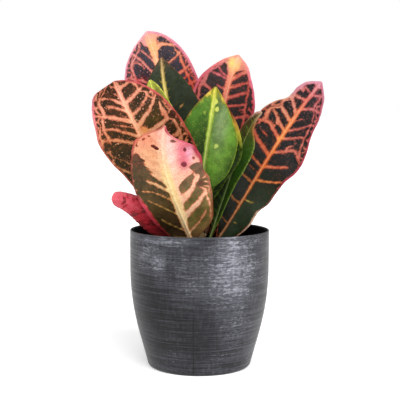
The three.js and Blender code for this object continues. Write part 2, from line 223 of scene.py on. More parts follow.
def finish_piece(piece, material, slot, *nodes):
    """Gives a piece its material and its body, and hides the solids that it stands for. Its slot is not used.
    """
    piece.data.materials.clear()
    piece.data.materials.append(material)
    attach(piece, "root")
    if nodes:
        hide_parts(*nodes)
    piece.data.calc_loop_triangles()
    print(f"{piece.name}: {len(piece.data.loop_triangles)} triangles")


print("mesh helpers ready")

# %% [markdown]
# ## The shape of a leaf
#
# A croton leaf is a flat blade on a short stalk, the petiole, with a stout midrib that stands out below. It
# could be cut from a plane and bent, but then its width, its fold along the midrib and its wavy margin would
# be three separate edits. Here one rule gives a point for any share of the way to the tip and any share of
# the way to the margin. The solids of the frame follow the same rule, and the rows below repeat theirs, in
# millimetres. Only some margins are set closer to the real leaf's lobes here.
#
# * `seat`: where the petiole leaves the stem, as an angle from +X and a height
# * `midrib`: the two handles and the tip of a cubic curve that starts at the seat
# * `outline`: share of the midrib's length, then the half-width to the left and to the right, or one number
#   where they are alike. `blade` is the share at which the petiole ends and the blade begins
# * `lean`: how far each half folds back, in degrees, and `curl`: how far the margins turn away
# * `wave`: height, number and start of the ripples along each margin
# * `turn`: the leaf's own front, turned round the stem from -Y, and `rib`: 1 if the ribbed side faces it

# %% Leaves low on the stem
PETIOLE_RADIUS = 1.6
LEAVES = {}


def add_leaf(leaf, outline, blade, turn=0, rib=-1, curl=0, **values):
    """Notes a leaf's values. Its outline gets the petiole's end and the tip as first and last row."""
    rows = [(share, left, right[0] if right else left) for share, left, *right in outline]
    outline = [(blade, PETIOLE_RADIUS, PETIOLE_RADIUS), *rows, (1, 1, 1)]
    LEAVES[leaf] = dict(values, outline=outline, blade=blade, turn=turn, rib=rib, curl=curl)


add_leaf(
    "leaf_drooping", rib=1, seat=(205, 116), lean=(22, 22), wave=(0.8, 3, 0.2), curl=0.1,
    midrib=[(-30, -8, 128), (-58, -13, 168), (-86.5, -18, 168.5)],
    blade=0.14,
    outline=[
        (0.26, 8), (0.38, 13, 12), (0.5, 15), (0.62, 14), (0.75, 11.6, 10.8), (0.87, 9.4, 8.9),
        (0.94, 8.1), (0.98, 5.6, 6),
    ],
)
add_leaf(
    "leaf_right", seat=(-18, 115), lean=(-16, 12), wave=(2.2, 4, 0.1),
    midrib=[(32, 8, 137), (72.5, 26, 224), (126, 46, 285.5)],
    blade=0.12,
    outline=[
        (0.2, 8, 14), (0.3, 18, 20.5), (0.38, 22.5, 21), (0.44, 25, 26.2), (0.5, 28, 27.2),
        (0.56, 31, 28.8), (0.61, 33.3, 33.4), (0.66, 35), (0.72, 35, 32.8), (0.77, 33.6, 28),
        (0.82, 27.3, 25.2), (0.86, 19, 23.6), (0.92, 16.8, 18.4), (0.96, 12.2, 12.3),
    ],
)
add_leaf(
    "leaf_front", rib=1, seat=(-115, 117), lean=(14, 12), wave=(2, 3, 0.55), curl=0.1,
    midrib=[(-17, -34, 155), (-45.5, -62, 208.5), (-32, -76, 241)],
    blade=0.08,
    outline=[
        (0.16, 18, 24), (0.26, 26, 32), (0.38, 31, 37), (0.49, 34, 39), (0.57, 35, 36), (0.67, 33, 37),
        (0.76, 30, 34), (0.85, 26, 28), (0.91, 14, 12), (0.95, 5),
    ],
)
add_leaf(
    "leaf_low_rear_right", turn=138, rib=1, seat=(20, 118), lean=(14, 14), wave=(1.4, 3, 0), curl=0.1,
    midrib=[(2, -26, 146), (0, -54, 174), (-3, -76, 170)],
    blade=0.12, outline=[(0.3, 11), (0.5, 17), (0.7, 17), (0.88, 10), (0.96, 5)],
)
add_leaf(
    "leaf_low_rear_left", turn=232, rib=1, seat=(168, 119), lean=(12, 12), wave=(1.4, 3, 0.4), curl=0.1,
    midrib=[(-3, -26, 150), (-2, -50, 184), (2, -68, 186)],
    blade=0.12, outline=[(0.3, 13), (0.5, 20), (0.7, 19), (0.88, 11)],
)
print("leaves so far:", len(LEAVES))

# %% Leaves higher up
add_leaf(
    "leaf_left", seat=(-160, 124), lean=(6, -17), wave=(1.8, 3, 0.3),
    midrib=[(-22, -13, 164), (-55, -30, 224), (-83.5, -18, 283)],
    blade=0.12,
    outline=[
        (0.24, 5, 21), (0.34, 14, 37), (0.44, 26.5, 44), (0.57, 33.8, 46), (0.64, 38.2, 45.6),
        (0.7, 40.3, 44.5), (0.76, 41, 42), (0.82, 38), (0.88, 35.1, 32), (0.95, 29, 20), (0.985, 21, 9),
    ],
)
add_leaf(
    "leaf_rear_left", turn=220, rib=1, seat=(140, 130), lean=(10, 10), wave=(1.8, 3, 0.2), curl=0.1,
    midrib=[(0, -30, 164), (-4, -66, 212), (-6, -98, 228)],
    blade=0.12, outline=[(0.28, 15), (0.48, 26), (0.68, 28), (0.86, 18), (0.95, 8)],
)
add_leaf(
    "leaf_rear_right", turn=148, rib=1, seat=(38, 132), lean=(10, 14), wave=(1.8, 3, 0.7), curl=0.1,
    midrib=[(0, -30, 162), (4, -66, 206), (5, -96, 224)],
    blade=0.12, outline=[(0.28, 14), (0.48, 25), (0.68, 27), (0.86, 18), (0.95, 8)],
)
add_leaf(
    "leaf_back_left", seat=(114, 137), lean=(8, -8), wave=(2, 3, 0.6),
    midrib=[(-8, 27, 190), (-31, 56, 277), (-57.5, 84, 340)],
    blade=0.12,
    outline=[
        (0.26, 16), (0.42, 32, 31), (0.56, 43, 37), (0.7, 46, 35), (0.8, 41, 32.4), (0.88, 33, 26.4),
        (0.94, 21, 18), (0.98, 8.6),
    ],
)
add_leaf(
    "leaf_rear_centre", turn=184, rib=1, seat=(88, 126), lean=(8, 8), wave=(1.8, 3, 0.5), curl=0.1,
    midrib=[(0, -24, 174), (2, -65, 236), (3, -108, 260)],
    blade=0.14, outline=[(0.3, 12), (0.5, 24), (0.68, 27), (0.86, 18), (0.95, 8)],
)
add_leaf(
    "leaf_folded", seat=(0, 123), lean=(12, -35), wave=(0.3, 2, 0.3),
    midrib=[(24, -2, 165), (44, 2, 240), (62, 8, 254)],
    blade=0.1,
    outline=[
        (0.18, 6, 4), (0.28, 9, 6), (0.4, 9, 8.5), (0.52, 9, 13), (0.63, 9, 14.5), (0.7, 9, 12),
        (0.78, 8, 5), (0.88, 6, 2), (0.95, 4, 2),
    ],
)
print("leaves so far:", len(LEAVES))

# %% The topmost leaves
add_leaf(
    "leaf_back_right", seat=(52, 146), lean=(-16, 4), wave=(1.6, 3, 0.1),
    midrib=[(8, 20, 195), (23, 34, 261), (40, 56, 313.5)],
    blade=0.14,
    outline=[
        (0.28, 13), (0.44, 26), (0.58, 33, 31), (0.7, 36, 32), (0.8, 33.3, 27), (0.88, 24.6, 20),
        (0.95, 13.3, 12.6),
    ],
)
add_leaf(
    "leaf_mid", seat=(140, 150), lean=(-10, -10), wave=(1.4, 3, 0.8),
    midrib=[(-15, 8, 192), (-36, 16, 256), (-39.5, 28, 309)],
    blade=0.14,
    outline=[
        (0.28, 14), (0.45, 26, 28), (0.6, 29, 33), (0.72, 26, 31), (0.84, 18, 22), (0.93, 9, 11),
    ],
)
add_leaf(
    "leaf_young_rear", seat=(-15, 151), lean=(-8, -14), wave=(1, 3, 0.2),
    midrib=[(9, -5, 176), (23, -7, 216), (27, -8, 258)],
    blade=0.14,
    outline=[
        (0.3, 10, 9), (0.42, 14, 13), (0.52, 16, 18), (0.62, 17, 22), (0.72, 16, 21), (0.84, 12, 15),
        (0.93, 7, 8),
    ],
)
add_leaf(
    "leaf_lime", seat=(-150, 157), lean=(-8, -8), wave=(0.6, 2, 0.3),
    midrib=[(-10, -3, 188), (-35, -2, 240), (-49.5, -4, 285)],
    blade=0.14, outline=[(0.3, 7), (0.5, 12, 13), (0.7, 13, 14), (0.86, 9, 10), (0.95, 6)],
)
add_leaf(
    "leaf_young", seat=(-75, 158), lean=(-9, -12), wave=(1.4, 3, 0.4),
    midrib=[(0, -13, 184), (9, -18, 231), (15, -22, 278)],
    blade=0.12,
    outline=[
        (0.24, 10, 12), (0.38, 22, 24), (0.52, 28, 29), (0.66, 28, 29), (0.78, 23, 22), (0.88, 15, 14),
        (0.95, 7),
    ],
)
print("leaves:", len(LEAVES))

# %% Curves through rows
RIB_TIP_RADIUS = 0.55
LEAST_HALF_WIDTH = 0.9
BLADE_OPENS = 0.15  # share of the midrib over which the blade takes up its lean and ripples
RIGHT_WAVE_SHIFT = 0.37  # of the right margin's ripples against the left's


def ramp(value, low, high):
    """0 at low and 1 at high, smooth between them."""
    share = np.clip((value - low) / (high - low), 0, 1)
    return share * share * (3 - 2 * share)


def through(rows, column, t):
    """A smooth value at t through rows of (t, ...values), for the column asked."""
    x = np.array([row[0] for row in rows], float)
    y = np.array([row[column] for row in rows], float)
    before = np.maximum(np.arange(len(x)) - 1, 0)
    after = np.minimum(np.arange(len(x)) + 1, len(x) - 1)
    slope = (y[after] - y[before]) / (x[after] - x[before])
    i = np.clip(np.searchsorted(x, t) - 1, 0, len(x) - 2)
    step = x[i + 1] - x[i]
    u = (t - x[i]) / step
    start = (1 + 2 * u) * (1 - u) ** 2 * y[i] + u * (1 - u) ** 2 * step * slope[i]
    return start + u * u * (3 - 2 * u) * y[i + 1] + u * u * (u - 1) * step * slope[i + 1]


def about_z(points, degrees):
    """Points turned about the Z axis."""
    c, s = math.cos(math.radians(degrees)), math.sin(math.radians(degrees))
    return points @ np.array([[c, s, 0], [-s, c, 0], [0, 0, 1]])


middle_width = through(LEAVES["leaf_right"]["outline"], 1, np.array(0.5))
print("leaf_right's left half is", round(float(middle_width), 1), "mm wide at mid-length")

# %% The leaf's middle surface
SOIL_LEVEL = 108  # these five are of the stem, in millimetres
STEM_TOP = 166
STEM_FOOT_RADIUS = 5.2
STEM_TOP_RADIUS = 3.2
SEAT_REACH = 3.4  # from the stem's side to where a petiole begins
MIDRIB_STEPS = 400  # in which a midrib's length is measured


def unit(vectors):
    return vectors / np.linalg.norm(vectors, axis=-1, keepdims=True)


class Leaf:
    """One leaf's middle surface. t is the share of the way to the tip, side runs from -1 to 1."""

    def __init__(self, name):
        self.row = LEAVES[name]
        self.blade = self.row["blade"]
        angle, height = self.row["seat"]
        radius = np.interp(height, [SOIL_LEVEL, STEM_TOP], [STEM_FOOT_RADIUS, STEM_TOP_RADIUS]) + SEAT_REACH
        way = math.radians(angle)
        seat = np.array([radius * math.cos(way), radius * math.sin(way), height])
        self.handles = np.array([about_z(seat, -self.row["turn"]), *self.row["midrib"]], float)
        steps = np.diff(self.midrib(np.linspace(0, 1, MIDRIB_STEPS)), axis=0)
        self.length = np.linalg.norm(steps, axis=1).sum()

    def midrib(self, t):
        """The point of the cubic curve at t."""
        t, p = np.asarray(t)[..., None], self.handles
        return (1 - t) ** 3 * p[0] + 3 * (1 - t) ** 2 * t * p[1] + 3 * (1 - t) * t**2 * p[2] + t**3 * p[3]

    def way(self, t):
        """The direction in which the midrib runs at t."""
        t, p = np.asarray(t)[..., None], self.handles
        return unit((1 - t) ** 2 * (p[1] - p[0]) + 2 * (1 - t) * t * (p[2] - p[1]) + t**2 * (p[3] - p[2]))

    def half_width(self, t, right):
        widths = np.where(right, through(self.row["outline"], 2, t), through(self.row["outline"], 1, t))
        return np.where(t < self.blade, PETIOLE_RADIUS, np.maximum(LEAST_HALF_WIDTH, widths))

    def surface(self, t, side):
        along, right = self.way(t), side > 0
        across = unit(np.stack([along[..., 2], 0 * t, -along[..., 0]], -1))
        width = self.half_width(t, right)
        height, count, start = self.row["wave"]
        opened = ramp(t, self.blade, self.blade + BLADE_OPENS)
        lean = np.radians(np.where(right, self.row["lean"][1], self.row["lean"][0])) * opened
        phase = 2 * np.pi * (count * t + start + RIGHT_WAVE_SHIFT * right)
        ripple = height * opened * side**2 * np.sin(phase) * (1 - t**6)
        curl = self.row["curl"] * width * side**4
        points = self.midrib(t) + across * (np.cos(lean) * side * width)[..., None]
        points[..., 1] += np.sin(lean) * np.abs(side) * width + curl + ripple
        return points

    def normal(self, t, side):
        """Square to the surface, from two steps along it and two across it."""
        small, wide = 0.004, 0.02
        along = self.surface(np.minimum(1, t + small), side) - self.surface(np.maximum(0, t - small), side)
        across = self.surface(t, np.minimum(1, side + wide)) - self.surface(t, np.maximum(-1, side - wide))
        return unit(np.cross(across, along))


print("leaf_right is", round(Leaf("leaf_right").length), "mm long with its petiole")

# %% [markdown]
# ## How a croton is coloured
#
# Colour follows the veins. The midrib and the side veins glow, the margin has its own band, and what is left
# between them are dark panels with rounded corners. Near the margin the side veins join in arches, and small
# dark cells lie beyond them. Towards the tip, or on a whole leaf, the glow can flood the panels. Each leaf is
# its own draw of this game, so each has values of its own. Lengths are in millimetres. A pair in round
# brackets holds the left half's value, then the right's. A dictionary gives values by share of the leaf's
# length, and a plain number holds all along it:
#
# * `veins`: each side vein from the base up, as its half-width, where it starts and ends out from the midrib,
#   and the shares that it passes 0, 10, 20 and 30 mm out. Shares that are left out go straight on
# * Leaves without `veins` have them drawn by chance: `feet` is their number, `rise` their slope at the base
#   and at the tip, `bend` how they curve up, `lateral` their half-width, and `seed` starts the draw
# * `arch`: share, how far out the arches lie there, and their half-width
# * `rib`, `edge`: half-widths of the midrib's glow and of the margin's band
# * `flush`: the share where the glow floods the blade next to the midrib, and how much later it does so for
#   each millimetre away from it
# * `dark`, `glow`, `vein`, `rim`: colours of the panels, the midrib, the side veins and the margin
# * `blots`: extra glow, or less of it, and `tints`: local colours of the glow (`light`) or the panels
#   (`dark`), with how strong they are. Each has its place as share and distance to the right of the midrib,
#   then its reach along and across
# * `network`: islands of glow inside the panels, `spots`: pale specks in the panels and dark dots in the
#   glow, and `cells`: the cells beyond the arches
# * `tone`, `depth`: what the light and the dark colours are multiplied by, and `swell`: how much the blade
#   swells between its side veins

# %% Three kinds of leaf
EMBER = dict(
    feet=9, rise=((0.3, 0.8), (0.3, 0.8)), bend=0.004,
    lateral={0: 0.5, 0.4: 1.0, 0.7: 1.5, 1: 1.6},
    rib={0: 1.6, 0.6: 2.0, 0.85: 2.4, 1: 2},
    edge={0.15: 0.8, 0.6: 1.6, 0.9: 3.2, 1: 3},
    dark={0: "15180d", 0.4: "1b1f12", 0.7: "241f20", 1: "352a2e"},
    glow={0: "6d5a2c", 0.35: "98642f", 0.6: "c46a38", 0.85: "dc8760", 1: "e3a08c"},
    vein={0.2: "6a5a26", 0.45: "a5602f", 0.7: "bd5a45", 1: "c07078"},
    rim={0.2: "6a4030", 0.6: "9a4440", 0.85: "b85c64", 1: "d98c9c"},
    network=0.5, spots=0.3, cells=1.0,
)
SALMON = dict(
    feet=8, rise=((0.4, 0.8), (0.4, 0.8)), bend=0.003,
    lateral={0: 0.6, 0.4: 1.2, 0.8: 1.7, 1: 1.7},
    rib={0: 1.6, 0.7: 2.1, 1: 1.6},
    edge={0.15: 0.8, 0.6: 1.6, 1: 2.4},
    dark={0: "3a2c18", 0.5: "43341c", 1: "553c26"},
    glow={0: "c8a878", 0.6: "dfa880", 0.85: "efb590", 1: "cf8c6c"},
    vein={0.2: "a8854e", 0.6: "c98a5c", 0.85: "da9a7a", 1: "c98068"},
    rim={0.2: "8a4a30", 0.6: "b06a48", 1: "d08a70"},
    network=0.5, spots=0.4, cells=1.0,
)
GREEN = dict(
    feet=15, rise=((0.6, 1.0), (0.6, 1.0)), bend=0.004,
    lateral={0: -0.4, 1: -0.2},
    rib={0: 1.6, 0.5: 1.5, 1: 1.0},
    edge={0: 0.5, 1: 0.7},
    dark={0: "2c3a14", 0.5: "4a661f", 1: "66802c"},
    glow={0: "8a9a48", 0.6: "aab94e", 1: "d0c84c"},
    vein={0: "4a6424", 1: "8aa044"},
    rim={0: "5a6a28", 1: "9a9a3c"},
    network=0.0, spots=0.35, cells=0.0,
)
WIDE_ARCH = [
    (0.3, 14, 0.0), (0.45, 18, 0.7), (0.62, 21.5, 1.0), (0.78, 19, 1.0), (0.9, 11, 0.8), (1, 4, 0.5),
]
NARROW_ARCH = [(0.3, 10, 0.0), (0.5, 14, 0.7), (0.65, 14, 0.9), (0.8, 11, 0.9), (0.92, 6, 0.6), (1, 3, 0.4)]
LOOKS = {}


def add_look(leaf, kind, **values):
    """Notes how a leaf looks: as its kind does, but for the values of its own."""
    LOOKS[leaf] = {**kind, **values}
    print(leaf, "has", len(values), "values of its own")


print("kinds of leaf: ember, salmon and green")

# %% The right leaf
add_look(
    "leaf_right", EMBER,
    veins=(
        [
            (0.4, 0, 30, 0.247, 0.262), (0.9, 0, 30, 0.368, 0.376, 0.385, 0.395),
            (0.8, 0, 30, 0.484, 0.49, 0.5), (0.0, 0, 30, 0.532, 0.54, 0.55),
            (1.0, 0, 30, 0.562, 0.572, 0.59, 0.61), (1.8, 0, 40, 0.617, 0.637, 0.651, 0.672),
            (0.3, 14, 24, 0.672, 0.685, 0.69, 0.697), (1.6, 0, 40, 0.697, 0.719, 0.735, 0.722),
            (1.3, 0, 24, 0.737, 0.758, 0.78, 0.8), (1.7, 0, 19, 0.787, 0.8, 0.818, 0.835),
            (1.5, 0, 15, 0.82, 0.856, 0.873, 0.88), (1.4, 0, 20, 0.898, 0.887, 0.887, 0.89),
            (0.4, 3, 20, 0.93, 0.938, 0.945, 0.95), (1.2, 0, 20, 0.972, 0.985, 0.99, 1.0),
        ],
        [
            (0.2, 4, 7, 0.266, 0.274, 0.28), (0.7, 0, 11, 0.4, 0.402, 0.406, 0.412),
            (0.9, 0, 26, 0.502, 0.516, 0.536, 0.56), (1.3, 0, 23, 0.567, 0.59, 0.613, 0.63),
            (1.4, 0, 30, 0.638, 0.664, 0.695, 0.67), (1.0, 0, 21, 0.707, 0.734, 0.763, 0.78),
            (0.9, 0, 20, 0.742, 0.78, 0.826, 0.86), (0.0, 2, 12, 0.79, 0.833, 0.86, 0.88),
            (1.2, 0, 20, 0.85, 0.884, 0.89, 0.9), (1.1, 0, 12, 0.925, 0.953, 0.96, 0.97),
            (1.0, 0, 12, 0.975, 0.985, 0.99, 1.0),
        ],
    ),
    arch=(
        [
            (0.7, 31, 0.3), (0.74, 26, 1.2), (0.79, 26.5, 1.2), (0.81, 20, 1.2), (0.84, 20, 1.0),
            (0.86, 15, 0.8), (0.9, 15, 0.4), (1, 12, 0),
        ],
        [
            (0.5, 36, -1), (0.64, 34, -1), (0.69, 27, 0.6), (0.76, 22, 0.7), (0.82, 19, 0.5),
            (0.87, 15, 0.2), (0.9, 10, 0.9), (0.94, 10, 0.9), (1, 9, 0),
        ],
    ),
    blots=[
        (0.922, -11, 2.5, 3, 3.0), (0.69, 11.5, 2, 1.8, 4.0), (0.705, 13.5, 2, 1.8, 4.0),
        (0.72, 15.5, 2.2, 2, 4.0), (0.745, -13, 4, 1.4, 3.0), (0.885, -6, 3, 4, -0.6),
    ],
    rib={0: 0.6, 0.3: 0.7, 0.5: 1.2, 0.8: 1.8, 0.95: 1.5, 1: 2},
    edge=(
        {0.2: 0.4, 0.6: 0.4, 0.75: 0.8, 0.85: 1.6, 0.92: 2.4, 0.97: 4.0},
        {0.2: 0.7, 0.34: 1.8, 0.42: 0.7, 0.6: 1.6, 0.8: 1.4, 0.87: 1.3, 0.93: 2.2, 1: 3.5},
    ),
    dark=(
        {0.1: "12180a", 0.45: "162010", 0.6: "1c1b15", 0.8: "252022", 1: "3c2b32"},
        {0.1: "26361c", 0.35: "2e4426", 0.48: "2a361e", 0.6: "282626", 0.8: "2b272a", 1: "44303a"},
    ),
    glow={
        0: "5a4a26", 0.25: "98683c", 0.45: "b87030", 0.55: "c86c2c", 0.62: "d06a30",
        0.7: "e89048", 0.8: "e48a56", 0.9: "d46c60", 1: "d893a4",
    },
    vein=(
        {0.3: "8a6432", 0.5: "9c6830", 0.62: "b85c38", 0.7: "c6664a", 0.8: "d08c6c", 1: "c87484"},
        {0.3: "7d7c36", 0.42: "8a8a3c", 0.5: "c88a44", 0.57: "c46c48", 0.7: "c0705e", 1: "bc6c78"},
    ),
    rim=(
        {0.6: "7a3a28", 0.75: "b06a54", 0.85: "d7a288", 0.9: "c88490", 1: "d490a4"},
        {0.2: "a8806a", 0.34: "cdb8a0", 0.42: "6a4038", 0.6: "a83c50", 0.8: "b04c5c", 1: "c87c92"},
    ),
    network={0.5: 0.0, 0.72: 0.4}, spots={0.45: 0.1, 0.75: 0.4}, tone=0.6, depth=0.3,
)

# %% The leaf at the back left
add_look(
    "leaf_back_left", EMBER,
    veins=(
        [
            (1.2, 0, 40, 0.2, 0.26), (1.2, 0, 40, 0.3, 0.36), (1.2, 0, 40, 0.4, 0.47, 0.53, 0.6),
            (1.3, 0, 40, 0.5, 0.58, 0.65), (1.4, 0, 40, 0.6, 0.69, 0.765, 0.79),
            (1.3, 17, 29, 0.65, 0.76, 0.86, 0.866), (1.5, 0, 24, 0.7, 0.797, 0.892, 0.95),
            (1.0, 0, 13, 0.8, 0.893, 0.96, 0.99), (0.8, 0, 10, 0.9, 0.96, 1.0, 1.02),
        ],
        [
            (1.2, 0, 40, 0.2, 0.23), (1.2, 0, 40, 0.31, 0.34), (1.3, 0, 40, 0.41, 0.44),
            (1.4, 0, 40, 0.5, 0.53), (1.5, 0, 40, 0.585, 0.61, 0.635, 0.655),
            (1.8, 0, 40, 0.655, 0.668, 0.685, 0.692), (1.2, 0, 40, 0.69, 0.7, 0.718, 0.735),
            (1.6, 0, 32, 0.72, 0.735, 0.752, 0.77), (1.5, 0, 26, 0.8, 0.812, 0.828, 0.85),
            (2.0, 0, 30, 0.895, 0.908, 0.886, 0.88), (1.5, 0, 12, 0.96, 0.97, 0.975),
        ],
    ),
    arch=(
        [(0.5, 36, 1), (0.78, 29, 1.2), (0.87, 28, 1.2), (0.9, 20, 1.0), (0.95, 13, 0.8), (1, 8, 0.5)],
        [
            (0.5, 28, 1), (0.7, 27, 1.0), (0.75, 25, 1.2), (0.84, 24, 1.2), (0.86, 22, 0.3),
            (0.9, 20, 0.5), (1, 8, 0),
        ],
    ),
    blots=[
        (0.975, 3, 9, 9, 6.0), (0.97, -4, 7, 4, 5.0), (0.9, 4, 4, 4, 1.0), (0.86, 12, 9, 8, -1.5),
    ],
    tints=[
        ("dark", 0.775, -21, 5, 5, "6a1418", 0.9), ("light", 0.78, -27, 6, 3, "c85058", 0.8),
        ("light", 0.7, 25, 9, 5, "c8503c", 0.7), ("light", 0.79, 22, 9, 5, "d87058", 0.6),
    ],
    rib=(
        {0: 1.8, 0.7: 2.4, 0.8: 3.5, 0.86: 4.5, 0.93: 4.0, 1: 4},
        {0: 1.8, 0.7: 2.0, 0.85: 1.8, 0.9: 4.0, 0.95: 5.0, 1: 5},
    ),
    edge=(
        {0.2: 1.0, 0.6: 1.2, 0.8: 1.6, 0.9: 2.4, 1: 3},
        {0.2: 1.0, 0.6: 1.5, 0.75: 2.2, 0.9: 3.2, 1: 3},
    ),
    dark={0: "2c2624", 0.6: "302a30", 0.8: "3a3640", 1: "48444c"},
    glow={0: "a86848", 0.7: "e09468", 0.84: "f4b488", 0.92: "f0b67c", 0.97: "f2a890", 1: "f0969c"},
    vein=(
        {0.3: "a85a48", 0.7: "c8685c", 0.85: "d08880", 1: "dca09c"},
        {0.3: "a85a48", 0.7: "c8604e", 0.82: "d08a70", 0.9: "e2a07c", 1: "e8a494"},
    ),
    rim=({0.3: "a05060", 0.8: "d888a0", 1: "ecacb4"}, {0.3: "a05060", 0.7: "cc6c80", 1: "e098a8"}),
    network=0.8, spots=0.5, tone=0.76, depth=0.75,
)

# %% The leaf at the back right
add_look(
    "leaf_back_right", EMBER,
    veins=(
        [
            (1.2, 0, 40, 0.2, 0.22, 0.25), (1.2, 0, 40, 0.3, 0.33), (1.3, 0, 40, 0.4, 0.43),
            (1.4, 0, 40, 0.5, 0.53), (1.5, 0, 40, 0.6, 0.63), (1.6, 0, 32, 0.7, 0.725, 0.757, 0.777),
            (0.6, 0, 14, 0.765, 0.783, 0.8, 0.81), (1.5, 0, 30, 0.833, 0.845, 0.85, 0.853),
            (1.1, 2, 18, 0.845, 0.86, 0.905, 0.92), (1.0, 0, 14, 0.91, 0.93),
        ],
        [
            (1.2, 0, 30, 0.22, 0.24, 0.27), (1.2, 0, 30, 0.32, 0.34, 0.37), (1.3, 0, 30, 0.42, 0.44, 0.47),
            (1.4, 0, 30, 0.51, 0.53, 0.56), (1.6, 0, 26, 0.6, 0.62, 0.645),
            (1.1, 0, 24, 0.675, 0.698, 0.717, 0.73), (1.4, 0, 23, 0.728, 0.757, 0.793, 0.82),
            (1.4, 0, 21, 0.79, 0.823, 0.856, 0.87), (1.7, 0, 16, 0.84, 0.895, 0.93, 0.94),
            (1.2, 0, 10, 0.905, 0.93, 0.95, 0.96),
        ],
    ),
    arch=(
        [(0.5, 28, 1), (0.75, 30, 1.0), (0.8, 27, 1.4), (0.85, 25, 1.2), (0.9, 17, 1), (1, 10, 1)],
        [(0.5, 24, 1), (0.64, 23, 1.2), (0.7, 22, 0.7), (0.86, 19, 0.8), (0.92, 13, 0.8), (1, 8, 1)],
    ),
    rib=(
        {0: 1.8, 0.65: 2.6, 0.72: 4.0, 0.86: 5.2, 0.91: 7.5, 0.96: 8.0, 1: 4},
        {0: 1.8, 0.65: 1.8, 0.75: 1.0, 0.86: 1.0, 0.92: 3.0, 0.97: 6.0, 1: 4},
    ),
    edge=(
        {0.2: 1.0, 0.7: 2.2, 0.9: 3.0, 1: 3},
        {0.2: 1.0, 0.6: 1.8, 0.75: 2.6, 0.85: 2.6, 0.93: 2.2, 1: 2},
    ),
    dark={0: "201c18", 0.7: "2a2222", 0.85: "3c2e2e", 1: "4a3634"},
    glow={0: "98603c", 0.7: "c9745a", 0.85: "e0886c", 0.93: "f2ba78", 0.97: "f4b088", 1: "f8ae94"},
    vein=(
        {0.3: "a05048", 0.75: "b8625c", 0.9: "b46a6c", 1: "e09a8c"},
        {0.3: "a04c3c", 0.75: "b0564c", 0.88: "bc6054", 1: "e8a488"},
    ),
    rim=(
        {0.3: "984858", 0.85: "c8606c", 1: "ec9888"},
        {0.3: "a0404c", 0.7: "c04c5c", 0.85: "d0687c", 1: "f0a090"},
    ),
    network=0.55, spots=0.25,
    blots=[
        (0.965, 2, 8, 12, 5.0), (0.94, 12, 5, 4, 2.0), (0.68, 18, 2, 3, 3.0), (0.79, -27, 5, 2, 2.5),
        (0.82, -14, 5, 9, -1.0), (0.755, 24, 3, 2, -2.5), (0.72, 25, 2.5, 2, -2.5),
        (0.8, 23, 3, 1.5, -2.0),
    ],
    tints=[("light", 0.94, -5, 6, 4, "fcd878", 0.8), ("light", 0.86, -12, 6, 6, "d86c7c", 0.6)],
    tone=0.66,
)

